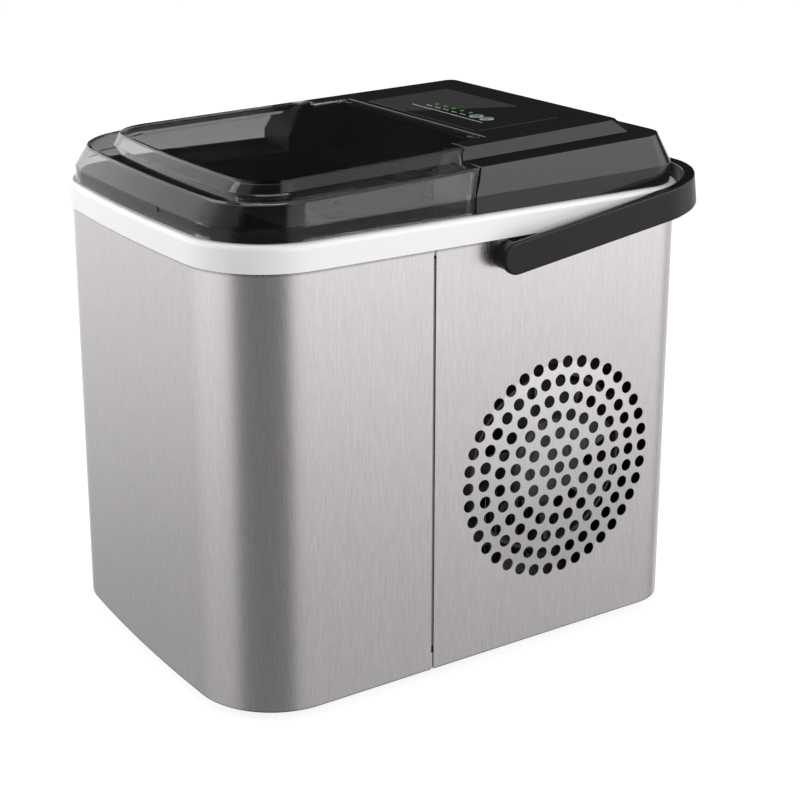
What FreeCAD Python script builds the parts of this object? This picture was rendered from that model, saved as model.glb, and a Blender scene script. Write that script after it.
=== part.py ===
import FreeCAD, Part
import math
import os

# Countertop ice maker. Millimetres, +Z up, front faces -Y, the vented side is +X.
# The origin is on the table, below the centre of the whole machine.

V = FreeCAD.Vector
X_AXIS = V(1, 0, 0)
Y_AXIS = V(0, 1, 0)
Z_AXIS = V(0, 0, 1)

# ---- Driving dimensions ----------------------------------------------------------------------
FOOT_HEIGHT = 6.0
STEEL_HEIGHT = 250.0
HALF_WIDTH = 118.5
DEPTH = 312.0
FRONT_Y = -163.0
FRONT_SAGITTA = 6.1
FRONT_CORNER = 49.0
REAR_CORNER = 30.0
FRONT_SHELL_DEPTH = 126.4
SHEET = 0.8
SEAM_GAP = 1.8

REAR_Y = FRONT_Y + DEPTH
SEAM_Y = FRONT_Y + FRONT_SHELL_DEPTH
STEEL_TOP = FOOT_HEIGHT + STEEL_HEIGHT
BOW_RADIUS = (HALF_WIDTH ** 2 + FRONT_SAGITTA ** 2) / (2 * FRONT_SAGITTA)

# White collar and the black plastic top. Tilted planes are (height at y = 0, rise per mm of y).
COLLAR_OVERHANG = 2.0
COLLAR_BASE = STEEL_TOP + 0.5
COLLAR_TOP = 271.0
COLLAR_INSET = 7.3
BAND_INSET = 2.5
BAND_TOP = (281.1, 0.0117)
LEDGE = (296.2, 0.036)
PLATFORM = (302.6, 0.036)
TOP_WALL = 2.5
DECK_RIM = 274.6
TOP_TILT = math.degrees(math.atan(PLATFORM[1]))

# Parting line between lid and control cover, seen from the side as (y, z) points.
SEAM_LINE = [(-8.9, 200.0), (-8.9, 281.0), (-2.8, 296.1), (2.9, 302.7), (2.9, 330.0)]
LID_GAP = 1.0
LID_REST = 0.4
TONGUE_HALF = 74.0
LIP_HALF = 79.0
TONGUE_END = 26.4
LIP_REACH = 4.0

# Lid hinge: a round knuckle at the end of the tongue, turning on two short pins.
KNUCKLE_R = 3.5
HINGE_PIN_R = 1.5
HINGE_Y = TONGUE_END - KNUCKLE_R
HINGE_Z = PLATFORM[0] + PLATFORM[1] * HINGE_Y - KNUCKLE_R

# Carrying handle.
HANDLE_Y = 10.2
HANDLE_Z = 247.0
HANDLE_RISE = 8.1
HANDLE_OUTER = 131.0
HANDLE_REACH = 154.6
HANDLE_HEIGHT = 18.6
HANDLE_CORNER = 45.0
ARM_THICK = 4.0
KINK_THICK = 5.4
GRIP_THICK = 7.0
HANDLE_PIN_R = 3.0
RUNNING = 0.05

# Round air intake in the right side: a centre hole and rings of holes.
VENT_Y = 51.4
VENT_Z = 112.0
VENT_PITCH = 10.7
VENT_HOLE_R = 3.7
VENT_COUNTS = [6, 12, 19, 25, 32, 38]
VENT_DOME_R = 64.2
VENT_DOME_RISE = 1.7

# Control panel on the sloping top, in plan coordinates.
PANEL = (-59.0, 59.0, 32.4, 93.5)
PANEL_THICK = 1.0
LED_X = [-21.2, -12.25, -3.3, 5.65, 14.6]
LED_Y = 59.8
LED_R = 1.2
BUTTON_X = [24.6, 35.1]
BUTTON_Y = 57.0
BUTTON_R = 4.4
BUTTON_TRAVEL = 0.8

# Water tub, with the tray, ice pusher and basket that work in it.
TUB_HALF = 85.0
TUB_FRONT = -140.0
TUB_REAR = 15.0
TUB_FLOOR = 60.0
TUB_TOP = 267.7
TUB_WALL = 2.5
TRAY_Y = -14.0
TRAY_Z = 214.0
TRAY_HALF = 64.0
PUSHER_Y = -64.0
PUSHER_Z = 186.0
BASKET_HALF = 76.0
BASKET_FRONT = -132.0
BASKET_REAR = -68.0
BASKET_BASE = 95.0
BASKET_TOP = 182.0
EVAPORATOR_Z = 238.0
FINGER_R = 4.5
FINGER_BOTTOM = 196.0
EVAPORATOR_TUBE_R = 4.0
FINGERS = [(x, -45.0) for x in (-48, -24, 0, 24, 48)] + [(x, -27.0) for x in (-36, -12, 12, 36)]
DRAIN = (-50.0, -105.0)
PUMP = (45.0, -60.0)

# Machinery behind the tub.
FLOOR_TOP = FOOT_HEIGHT + 3.4
PAN_TOP = 20.0
COMPRESSOR = (-42.0, 84.0)
COMPRESSOR_R = 46.0
COMPRESSOR_TOP = 125.0
MOUNT_ANGLES = [30, 150, 270]
MOUNT_R = 42.0
FAN_R = 50.0
FAN_HUB_R = 27.0
DUCT_R = 53.0
FAN_BLADES = 7
CONDENSER_X = (52.0, 74.0)
CONDENSER_Z = [45.0 + 22.0 * i for i in range(6)]
CONDENSER_TUBE_R = 3.5
DRIER = (34.0, 126.5)
FIN_Y = [32.0 + 4.0 * i for i in range(20)]
FEET = [(88.0, -118.0), (-88.0, -118.0), (88.0, 116.0), (-88.0, 116.0)]
COVER_SCREWS = [(95.0, 60.0), (-95.0, 60.0), (95.0, 125.0), (-95.0, 125.0)]
REAR_SCREWS = [(-80.0, 14.5), (-28.0, 14.5), (28.0, 14.5), (80.0, 14.5)]
SCREW_R = 1.75
GLAND = (-80.0, 32.0)

BIG = 400.0


# ---- Small helpers ---------------------------------------------------------------------------
def box(x0, x1, y0, y1, z0, z1):
    """Upright block between the given limits."""
    return Part.makeBox(x1 - x0, y1 - y0, z1 - z0, V(x0, y0, z0))


def rod(radius, start, end):
    """Round bar from one point to another."""
    a = V(*start)
    along = V(*end) - a
    return Part.makeCylinder(radius, along.Length, a, along)


def pipe(outer, inner, start, end):
    """Round bar with a bore right through it."""
    a = V(*start)
    along = V(*end) - a
    margin = along * (1.0 / along.Length)
    bore = Part.makeCylinder(inner, along.Length + 2, a - margin, along)
    return rod(outer, start, end).cut(bore)


def fused(shapes):
    """One solid from touching shapes."""
    whole = shapes[0]
    if len(shapes) > 1:
        whole = whole.fuse(shapes[1:])
    return whole.removeSplitter()


def rounded_block(x0, x1, y0, y1, z0, z1, radius):
    """Block whose four upright edges are rounded."""
    block = box(x0, x1, y0, y1, z0, z1)
    upright = [e for e in block.Edges if abs(e.tangentAt(e.FirstParameter).z) > 0.9]
    return block.makeFillet(radius, upright)


def both_sides(shape):
    """The shape and its mirror image across the YZ plane."""
    return [shape, shape.mirror(V(0, 0, 0), X_AXIS)]


def turned(shape, angle, pivot=V(0, 0, 0), axis=X_AXIS):
    """Copy of the shape, turned in degrees about an axis through the pivot."""
    copy = shape.copy()
    copy.rotate(pivot, axis, angle)
    return copy


def side_prism(points, half=BIG):
    """Prism along X from (y, z) points."""
    ring = [V(-half, y, z) for y, z in points]
    face = Part.Face(Part.makePolygon(ring + ring[:1]))
    return face.extrude(V(2 * half, 0, 0))


def on_platform(shape):
    """Moves a shape built on z = 0 onto the sloping top of the control cover."""
    copy = turned(shape, TOP_TILT)
    copy.translate(V(0, 0, PLATFORM[0]))
    return copy


def bent_tube(points, radius, bend, bore=0.0):
    """Tube along straight runs that are joined by tangent arcs."""
    edges = []
    last = V(*points[0])
    for before, corner, after in zip(points, points[1:], points[2:]):
        corner = V(*corner)
        to_before = (V(*before) - corner).normalize()
        to_after = (V(*after) - corner).normalize()
        half_turn = to_before.getAngle(to_after) / 2
        setback = bend / math.tan(half_turn)
        middle = (to_before + to_after).normalize() * (bend / math.sin(half_turn) - bend)
        start = corner + to_before * setback
        end = corner + to_after * setback
        edges.append(Part.LineSegment(last, start).toShape())
        edges.append(Part.Arc(start, corner + middle, end).toShape())
        last = end
    edges.append(Part.LineSegment(last, V(*points[-1])).toShape())
    path = Part.Wire(edges)
    start = V(*points[0])
    along = V(*points[1]) - start

    def sweep(r):
        ring = Part.Wire(Part.makeCircle(r, start, along))
        return path.makePipeShell([ring], True, False)

    tube = sweep(radius)
    return tube.cut(sweep(bore)) if bore else tube


# ---- Plan outlines ---------------------------------------------------------------------------
def plan_wire(half_front, half_rear, front, rear, front_corner, rear_corner, bow):
    """Closed outline: bowed front, large front corners, straight sides and rear."""
    bow_y = front + bow
    corner_x = half_front - front_corner
    corner_y = bow_y - math.sqrt((bow - front_corner) ** 2 - corner_x ** 2)
    reach = bow / math.hypot(corner_x, corner_y - bow_y)
    join = V(corner_x * reach, bow_y + (corner_y - bow_y) * reach, 0)
    half_angle = math.atan2(corner_y - bow_y, corner_x) / 2
    middle = V(corner_x, corner_y, 0) + V(math.cos(half_angle), math.sin(half_angle), 0) * front_corner
    diagonal = rear_corner * math.sqrt(0.5)
    centre = V(half_rear - rear_corner, rear - rear_corner, 0)
    rear_side = V(half_rear, rear - rear_corner, 0)
    rear_middle = centre + V(diagonal, diagonal, 0)
    rear_end = V(half_rear - rear_corner, rear, 0)
    front_side = V(half_front, corner_y, 0)

    def left(p):
        return V(-p.x, p.y, p.z)

    curves = [
        Part.Arc(left(join), V(0, front, 0), join),
        Part.Arc(join, middle, front_side),
        Part.LineSegment(front_side, rear_side),
        Part.Arc(rear_side, rear_middle, rear_end),
        Part.LineSegment(rear_end, left(rear_end)),
        Part.Arc(left(rear_end), left(rear_middle), left(rear_side)),
        Part.LineSegment(left(rear_side), left(front_side)),
        Part.Arc(left(front_side), left(middle), left(join)),
    ]
    return Part.Wire([c.toShape() for c in curves])


def body_wire(inset):
    """Outline of the steel body, moved inwards."""
    half = HALF_WIDTH - inset
    return plan_wire(half, half, FRONT_Y + inset, REAR_Y - inset, FRONT_CORNER - inset,
                     REAR_CORNER - inset, BOW_RADIUS - inset)


def body_block(inset, low, high):
    """Solid of the body outline between two heights."""
    wire = body_wire(inset)
    wire.translate(V(0, 0, low))
    return Part.Face(wire).extrude(V(0, 0, high - low))


def on_outline(edge, inset, height):
    """True for an edge that lies on the body outline at this inset and height."""
    wire = body_wire(inset)
    wire.translate(V(0, 0, height))
    middle = edge.valueAt((edge.FirstParameter + edge.LastParameter) / 2)
    return Part.Vertex(middle).distToShape(wire)[0] < 0.05


def body_ring(outer, inner, low, high):
    """Wall between two insets of the body outline."""
    return body_block(outer, low, high).cut(body_block(inner, low - 1, high + 1))


def tilted(wire, height, rise):
    """Shears a flat outline onto the plane z = height + rise * y."""
    shear = FreeCAD.Matrix(1, 0, 0, 0, 0, 1, 0, 0, 0, rise, 1, height, 0, 0, 0, 1)
    return wire.transformGeometry(shear)


def top_form(wall, base=COLLAR_TOP):
    """Stepped solid of the whole plastic top; wall moves every face inwards."""
    def ledge_wire():
        return plan_wire(111.0 - wall, 112.3 - wall, -152.8 + wall, 132.2 - wall,
                         41.0 - wall, 16.0 - wall / 2, BOW_RADIUS - 10)

    def step_wire(half_front, half_rear, front, rear, corner, rear_corner):
        return plan_wire(half_front - wall, half_rear - wall, front + wall, rear - wall,
                         corner - wall, rear_corner - wall * 0.4, BOW_RADIUS - 25)

    inset = BAND_INSET + wall
    lower = Part.makeLoft([
        tilted(body_wire(inset), base, 0),
        tilted(body_wire(inset), BAND_TOP[0] - wall / 2, BAND_TOP[1]),
        tilted(ledge_wire(), LEDGE[0] - wall, LEDGE[1]),
    ], True, True)
    foot = (93.2, 94.6, -138.3, 118.9, 28.0, 3.0)
    crown = (91.2, 86.0, -134.1, 116.1, 24.0, 5.5)
    platform = Part.makeLoft([
        tilted(step_wire(*foot), LEDGE[0] - wall - 1, LEDGE[1]),
        tilted(step_wire(*foot), LEDGE[0] - wall, LEDGE[1]),
        tilted(step_wire(*crown), PLATFORM[0] - wall, PLATFORM[1]),
    ], True, True)
    return lower.fuse(platform)


def behind_seam(shift):
    """Everything behind the lid's parting line, moved back by shift."""
    line = [(y + shift, z) for y, z in SEAM_LINE]
    return side_prism(line + [(BIG, 330.0), (BIG, 200.0)])


def seam_slab(near, far):
    """Slab that follows the parting line between two offsets."""
    front = [(y + near, z) for y, z in SEAM_LINE]
    back = [(y + far, z) for y, z in reversed(SEAM_LINE)]
    return side_prism(front + back)


# ---- Base and outer casing -------------------------------------------------------------------
def base_pan():
    pan = body_block(1.2, FOOT_HEIGHT + 0.4, PAN_TOP)
    pan = pan.cut(body_block(3.7, FLOOR_TOP, 40.0))
    holes = [rod(4.0, (x, y, 0), (x, y, 30)) for x, y in FEET]
    holes.append(rod(9.05, (*DRAIN, 0), (*DRAIN, 30)))
    holes += [rod(1.5, (x, REAR_Y - 9, z), (x, REAR_Y + 1, z)) for x, z in REAR_SCREWS]
    return pan.cut(holes)


def rubber_feet():
    feet = []
    for x, y in FEET:
        pad = Part.makeCone(10.0, 11.5, FOOT_HEIGHT + 0.4, V(x, y, 0))
        stem = rod(4.0, (x, y, FOOT_HEIGHT), (x, y, FLOOR_TOP + 2.5))
        feet.append(fused([pad, stem]))
    return Part.makeCompound(feet)


def steel_wall():
    return body_ring(0, SHEET, FOOT_HEIGHT, STEEL_TOP)


def front_shell():
    return steel_wall().common(box(-BIG, BIG, -BIG, SEAM_Y - SEAM_GAP / 2, 0, BIG))


def vent_holes():
    holes = [rod(VENT_HOLE_R, (110, VENT_Y, VENT_Z), (125, VENT_Y, VENT_Z))]
    for ring, count in enumerate(VENT_COUNTS, start=1):
        for i in range(count):
            angle = 2 * math.pi * i / count
            y = VENT_Y + ring * VENT_PITCH * math.cos(angle)
            z = VENT_Z + ring * VENT_PITCH * math.sin(angle)
            holes.append(rod(VENT_HOLE_R, (110, y, z), (125, y, z)))
    return holes


def vent_dome():
    """The sheet is pressed outwards into a shallow dome where the intake holes are."""
    radius = (VENT_DOME_R ** 2 + VENT_DOME_RISE ** 2) / (2 * VENT_DOME_RISE)
    centre = V(HALF_WIDTH + VENT_DOME_RISE - radius, VENT_Y, VENT_Z)
    balls = []
    for shift in (0.0, SHEET):
        at = centre - V(shift, 0, 0)
        balls.append(turned(Part.makeSphere(radius, at), 180, at, Z_AXIS))
    return vent_field().common(balls[0]).cut(balls[1])


def vent_field():
    return rod(VENT_DOME_R, (110, VENT_Y, VENT_Z), (125, VENT_Y, VENT_Z))


def rear_shell():
    shell = steel_wall().common(box(-BIG, BIG, SEAM_Y + SEAM_GAP / 2, BIG, 0, BIG))
    shell = fused([shell.cut(vent_field()), vent_dome()])
    cuts = vent_holes()
    for row in range(10):
        z = 66.0 + 9.0 * row
        cuts.append(box(-125, -110, 28, 112, z, z + 4.5))
    cuts.append(rod(3.4, (-130, HANDLE_Y, HANDLE_Z), (130, HANDLE_Y, HANDLE_Z)))
    cuts += [rod(1.5, (x, REAR_Y - 4, z), (x, REAR_Y + 4, z)) for x, z in REAR_SCREWS]
    cuts.append(rod(7.0, (GLAND[0], REAR_Y - 4, GLAND[1]), (GLAND[0], REAR_Y + 4, GLAND[1])))
    return shell.cut(cuts)


def seam_strips():
    """Backing strips behind the two side seams, stopping above the bottom edge."""
    edge = HALF_WIDTH - SHEET
    strip = box(edge - 1.2, edge, SEAM_Y - 7, SEAM_Y + 7, PAN_TOP + 0.4, 251.0)
    return Part.makeCompound(both_sides(strip))


def top_collar():
    ring = body_ring(-COLLAR_OVERHANG, COLLAR_INSET, COLLAR_BASE, COLLAR_TOP)
    ring = ring.makeFillet(3.0, [e for e in ring.Edges if on_outline(e, -COLLAR_OVERHANG, COLLAR_TOP)])
    ledge = body_ring(COLLAR_INSET - 0.5, 14.0, 262.0, 264.8)
    spigot = body_ring(1.2, 3.7, 252.5, COLLAR_BASE + 0.5)
    tabs = [box(min(x * 0.93, x * 1.11), max(x * 0.93, x * 1.11), y - 8, y + 8, 262.0, 264.8)
            for x, y in COVER_SCREWS]
    collar = fused([ring, ledge, spigot] + tabs)
    holes = [rod(SCREW_R, (x, y, 250), (x, y, 280)) for x, y in COVER_SCREWS]
    return collar.cut(holes)


def rear_screws():
    screws = []
    for x, z in REAR_SCREWS:
        head = rod(3.5, (x, REAR_Y, z), (x, REAR_Y + 1.8, z))
        shank = rod(1.5, (x, REAR_Y - 7, z), (x, REAR_Y + 0.5, z))
        recess = box(x - 0.5, x + 0.5, REAR_Y + 1.0, REAR_Y + 3, z - 2.4, z + 2.4)
        cross = box(x - 2.4, x + 2.4, REAR_Y + 1.0, REAR_Y + 3, z - 0.5, z + 0.5)
        screws.append(fused([head, shank]).cut([recess, cross]))
    return Part.makeCompound(screws)


def cover_screws():
    screws = []
    for x, y in COVER_SCREWS:
        head = rod(3.5, (x, y, 259.5), (x, y, 262))
        shank = rod(SCREW_R, (x, y, 261), (x, y, 281))
        screws.append(fused([head, shank]))
    return Part.makeCompound(screws)


def cord_gland():
    x, z = GLAND
    flange = rod(10.0, (x, REAR_Y, z), (x, REAR_Y + 2.5, z))
    body = rod(7.0, (x, REAR_Y - 5, z), (x, REAR_Y + 0.5, z))
    nose = Part.makeCone(8.0, 6.0, 6.0, V(x, REAR_Y + 2, z), Y_AXIS)
    bore = rod(3.6, (x, REAR_Y - 8, z), (x, REAR_Y + 10, z))
    return fused([flange, body, nose]).cut(bore)


# ---- Plastic top -----------------------------------------------------------------------------
def inner_deck():
    plate = body_block(COLLAR_INSET + 0.3, 268.0, COLLAR_TOP)
    plate = plate.common(box(-BIG, BIG, -BIG, 24.0, 0, BIG))
    rim = body_ring(5.5, 9.5, COLLAR_TOP, DECK_RIM).common(box(-BIG, BIG, -BIG, -13.5, 0, BIG))
    mouth = rounded_block(-80, 80, -135.5, 3, 250, 300, 5)
    return fused([plate, rim]).cut(mouth)


def lid_shell(outer, inner):
    shell = outer.cut(inner)
    front = shell.cut([behind_seam(0), box(-BIG, BIG, -BIG, BIG, 260, COLLAR_TOP + LID_REST)])
    reach = box(-TONGUE_HALF, TONGUE_HALF, -5, HINGE_Y, 297.0, 320.0)
    tongue = outer.common(reach).cut(inner)
    knuckle = rod(KNUCKLE_R, (-TONGUE_HALF, HINGE_Y, HINGE_Z), (TONGUE_HALF, HINGE_Y, HINGE_Z))
    lid = fused([front, tongue, knuckle])
    sockets = []
    for side in (-1, 1):
        start = (side * 62, HINGE_Y, HINGE_Z)
        sockets.append(rod(HINGE_PIN_R + RUNNING, start, (side * 80, HINGE_Y, HINGE_Z)))
    return lid.cut(sockets)


def grip_strip():
    """Fine ribs on the lid's front, left of centre, where a finger lifts it."""
    radius = BOW_RADIUS - BAND_INSET
    centre = V(0, FRONT_Y + BOW_RADIUS, 0)
    start = 270 - math.degrees(45.0 / radius)
    sweep = math.degrees(78.0 / radius)
    ribs = []
    for z in (276.6, 277.9, 279.2):
        rib = Part.makeCylinder(radius + 0.5, 0.6, centre + V(0, 0, z), Z_AXIS, sweep)
        core = Part.makeCylinder(radius, 2, centre + V(0, 0, z - 0.5), Z_AXIS, sweep)
        ribs.append(turned(rib.cut(core), start, centre, Z_AXIS))
    stop = box(33.5, 36.5, FRONT_Y, FRONT_Y + 40, 276.6, 279.4)
    shell = Part.makeCylinder(radius + 0.6, 5, centre + V(0, 0, 275), Z_AXIS)
    stop = stop.common(shell).cut(Part.makeCylinder(radius, 5, centre + V(0, 0, 275), Z_AXIS))
    return Part.makeCompound(ribs + [stop])


def control_cover(outer, inner):
    mouth = box(-TONGUE_HALF - 0.8, TONGUE_HALF + 0.8, -60, TONGUE_END + LID_GAP, 250, 330)
    shell = outer.cut(inner).common(behind_seam(LID_GAP)).cut(mouth)
    lip_block = top_form(TOP_WALL + 0.5, COLLAR_TOP + 0.4)
    joint_block = top_form(TOP_WALL - 0.4, COLLAR_TOP + 0.4)
    lip = lip_block.common(seam_slab(-LIP_REACH, 3.0))
    root = joint_block.common(seam_slab(LID_GAP, 3.5))
    core = top_form(TOP_WALL + 3.0, COLLAR_TOP - 1).common(seam_slab(-LIP_REACH + 2.2, 9.0))
    wide_mouth = box(-LIP_HALF, LIP_HALF, -60, 1.5, 250, 330)
    lip = fused([lip, root]).cut(core).cut([mouth, wide_mouth])
    inside = joint_block.common(behind_seam(LID_GAP)).fuse(lip_block.common(behind_seam(-LIP_REACH)))
    edge = TONGUE_HALF + 0.8
    front_cheek = box(LIP_HALF, LIP_HALF + 2.5, -20, 4.0, 260, 330)
    step = box(edge, LIP_HALF + 2.5, 1.5, 4.0, 260, 330)
    cheek = box(edge, edge + 2.5, 1.5, TONGUE_END + LID_GAP + 2.5, 260, 330)
    side = front_cheek.fuse([step, cheek])
    wall = box(-edge - 1, edge + 1, TONGUE_END + LID_GAP, TONGUE_END + LID_GAP + 2.5, 260, 330)
    panels = [p.common(inside) for p in both_sides(side) + [wall]]
    below = top_form(TOP_WALL - 0.4, 260.0)
    bosses = [rod(5.0, (x, y, 265.2), (x, y, 300)).common(below) for x, y in COVER_SCREWS]
    pin_boss = rod(4.5, (edge, HINGE_Y, HINGE_Z - 2), (edge + 6, HINGE_Y, HINGE_Z - 2))
    pin_bosses = [b.common(inside) for b in both_sides(pin_boss)]
    cover = fused([shell, lip] + panels + bosses + pin_bosses)
    cuts = [rod(SCREW_R, (x, y, 260), (x, y, 281)) for x, y in COVER_SCREWS]
    cuts.append(rod(HINGE_PIN_R, (-edge - 5, HINGE_Y, HINGE_Z), (edge + 5, HINGE_Y, HINGE_Z)))
    x0, x1, y0, y1 = PANEL
    cuts.append(on_platform(box(x0 - 0.1, x1 + 0.1, y0 - 0.1, y1 + 0.1, -PANEL_THICK, 5)))
    for x in BUTTON_X:
        cuts.append(on_platform(rod(BUTTON_R + 0.3, (x, BUTTON_Y, -6), (x, BUTTON_Y, 5))))
    return cover.cut(cuts)


def control_panel():
    x0, x1, y0, y1 = PANEL
    panel = rounded_block(x0, x1, y0, y1, -PANEL_THICK, 0.15, 2.0)
    holes = [rod(BUTTON_R + 0.3, (x, BUTTON_Y, -5), (x, BUTTON_Y, 5)) for x in BUTTON_X]
    holes += [rod(LED_R, (x, LED_Y, -5), (x, LED_Y, 5)) for x in LED_X]
    return on_platform(panel.cut(holes))


def indicator_lenses():
    lenses = [rod(LED_R, (x, LED_Y, -PANEL_THICK), (x, LED_Y, 0.3)) for x in LED_X]
    return on_platform(Part.makeCompound(lenses))


def push_button(x):
    cap = rod(BUTTON_R, (x, BUTTON_Y, -3.4), (x, BUTTON_Y, 0.35))
    top = [e for e in cap.Edges if e.BoundBox.ZMin > 0.3]
    cap = cap.makeFillet(0.25, top)
    flange = rod(4.9, (x, BUTTON_Y, -4.4), (x, BUTTON_Y, -3.2))
    stem = rod(2.5, (x, BUTTON_Y, -8.6), (x, BUTTON_Y, -4.0))
    return on_platform(fused([cap, flange, stem]))


def display_board():
    board = box(-48, 48, 36, 88, -13.6, -12.0)
    switches = [box(x - 3, x + 3, BUTTON_Y - 3, BUTTON_Y + 3, -12.1, -9.8) for x in BUTTON_X]
    lamps = [rod(1.1, (x, LED_Y, -12.1), (x, LED_Y, -4.0)) for x in LED_X]
    return on_platform(fused([board] + switches + lamps))


def hinge_pins():
    start = TONGUE_HALF - 10
    end = TONGUE_HALF + 5.8
    pins = [rod(HINGE_PIN_R, (s * start, HINGE_Y, HINGE_Z), (s * end, HINGE_Y, HINGE_Z)) for s in (-1, 1)]
    return Part.makeCompound(pins)


# ---- Handle ----------------------------------------------------------------------------------
def handle_outline():
    """Plan of the bail with the pivot at y = 0 and its grip at the far end."""
    outer = HANDLE_OUTER
    inner = outer - ARM_THICK
    kink_x = outer - KINK_THICK
    kink_y = HANDLE_REACH * 0.64
    corner = HANDLE_CORNER
    reach = HANDLE_REACH
    inner_r = corner - GRIP_THICK
    inner_x = outer - GRIP_THICK
    inner_reach = reach - GRIP_THICK
    q = math.sqrt(0.5)

    def arc(cx, cy, r, sx):
        return [V(sx * (cx + r), cy, 0), V(sx * (cx + r * q), cy + r * q, 0), V(sx * cx, cy + r, 0)]

    o = arc(outer - corner, reach - corner, corner, 1)
    i = arc(inner_x - inner_r, inner_reach - inner_r, inner_r, 1)

    def left(p):
        return V(-p.x, p.y, 0)

    def line(a, b):
        return Part.LineSegment(a, b)

    a = V(outer, 0, 0)
    b = V(inner, 0, 0)
    k = V(kink_x, kink_y, 0)
    curves = [
        line(a, o[0]),
        Part.Arc(*o),
        line(o[2], left(o[2])),
        Part.Arc(left(o[2]), left(o[1]), left(o[0])),
        line(left(o[0]), left(a)),
        line(left(a), left(b)),
        line(left(b), left(k)),
        line(left(k), left(i[0])),
        Part.Arc(left(i[0]), left(i[1]), left(i[2])),
        line(left(i[2]), i[2]),
        Part.Arc(i[2], i[1], i[0]),
        line(i[0], k),
        line(k, b),
        line(b, a),
    ]
    return Part.Wire([c.toShape() for c in curves])


def at_handle(shape):
    """Puts a shape built round the handle's pivot at its resting place."""
    copy = turned(shape, HANDLE_RISE)
    copy.translate(V(0, HANDLE_Y, HANDLE_Z))
    return copy


def carry_handle():
    half = HANDLE_HEIGHT / 2
    wire = handle_outline()
    wire.translate(V(0, 0, -half))
    bail = Part.Face(wire).extrude(V(0, 0, HANDLE_HEIGHT))
    ends = both_sides(rod(half, (HANDLE_OUTER - ARM_THICK, 0, 0), (HANDLE_OUTER, 0, 0)))
    bail = fused([bail] + ends)
    sharp = [e for e in bail.Edges if abs(abs(e.CenterOfMass.z) - half) < 0.01 and e.Length > 20]
    bail = bail.makeFillet(1.2, sharp)
    socket = rod(HANDLE_PIN_R, (HANDLE_OUTER - ARM_THICK - 1, 0, 0), (HANDLE_OUTER - 1.5, 0, 0))
    return at_handle(bail.cut(both_sides(socket)))


def handle_bosses():
    end = HANDLE_OUTER - ARM_THICK - 0.4
    boss = pipe(8.2, HANDLE_PIN_R + RUNNING, (HALF_WIDTH, HANDLE_Y, HANDLE_Z), (end, HANDLE_Y, HANDLE_Z))
    return Part.makeCompound(both_sides(boss))


def handle_pins():
    head = rod(4.6, (111.5, HANDLE_Y, HANDLE_Z), (113, HANDLE_Y, HANDLE_Z))
    shank = rod(HANDLE_PIN_R, (112, HANDLE_Y, HANDLE_Z), (HANDLE_OUTER - 1.5, HANDLE_Y, HANDLE_Z))
    return Part.makeCompound(both_sides(fused([head, shank])))


# ---- Ice compartment -------------------------------------------------------------------------
def inner_tub():
    outer = rounded_block(-TUB_HALF, TUB_HALF, TUB_FRONT, TUB_REAR, TUB_FLOOR, TUB_TOP, 8.5)
    flange = body_block(8.0, 265.0, TUB_TOP).common(box(-BIG, BIG, -BIG, 24.0, 0, BIG))
    w = TUB_WALL
    inner = TUB_HALF - w
    hollow = rounded_block(-inner, inner, TUB_FRONT + w, TUB_REAR - w, TUB_FLOOR + 3, 300, 6)
    shelf = box(inner - 12.5, inner + 1, BASKET_FRONT + 6, BASKET_REAR - 4,
                BASKET_BASE - 4, BASKET_BASE - 0.2)
    tub = fused([fused([outer, flange]).cut(hollow)] + both_sides(shelf))
    cuts = [rod(6.5, (*DRAIN, 50), (*DRAIN, 70))]
    cuts.append(rod(5.0, (*PUMP, 50), (*PUMP, 70)))
    cuts.append(rod(2.5 + RUNNING, (-90, TRAY_Y, TRAY_Z), (90, TRAY_Y, TRAY_Z)))
    cuts.append(rod(2.0 + RUNNING, (-90, PUSHER_Y, PUSHER_Z), (90, PUSHER_Y, PUSHER_Z)))
    for x in (-72.0, -58.0):
        cuts.append(rod(EVAPORATOR_TUBE_R + 0.2, (x, 0, EVAPORATOR_Z), (x, 20, EVAPORATOR_Z)))
    cuts.append(rod(4.2, (PUMP[0], 5, 224), (PUMP[0], 20, 224)))
    return tub.cut(cuts)


def tub_insulation():
    block = rounded_block(-TUB_HALF - 11, TUB_HALF + 11, TUB_FRONT - 10, TUB_REAR + 10, 50, 258, 20)
    block = block.common(box(-BIG, BIG, -BIG, -5.0, 0, BIG))
    tub = rounded_block(-TUB_HALF, TUB_HALF, TUB_FRONT, TUB_REAR + 30, TUB_FLOOR, 300, 8.5)
    cuts = [tub, rod(9.3, (*DRAIN, 40), (*DRAIN, 70)), rod(8.0, (*PUMP, 40), (*PUMP, 70))]
    cuts.append(box(-120, -TUB_HALF, -42, 20, 186, 242))
    return block.cut(cuts)


def ice_basket():
    x, w = BASKET_HALF, 2.0
    outer = rounded_block(-x, x, BASKET_FRONT, BASKET_REAR, BASKET_BASE, BASKET_TOP, 10)
    hollow = rounded_block(-x + w, x - w, BASKET_FRONT + w, BASKET_REAR - w, BASKET_BASE + w, 300, 8)
    basket = outer.cut(hollow)
    cuts = []
    for i in range(-5, 6):
        cuts.append(box(12.0 * i - 2, 12.0 * i + 2, BASKET_FRONT + 10, BASKET_REAR - 10, 80, 100))
        cuts.append(box(12.0 * i - 2, 12.0 * i + 2, BASKET_FRONT - 5, BASKET_FRONT + 5, 110, 165))
    return basket.cut(cuts)


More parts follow.
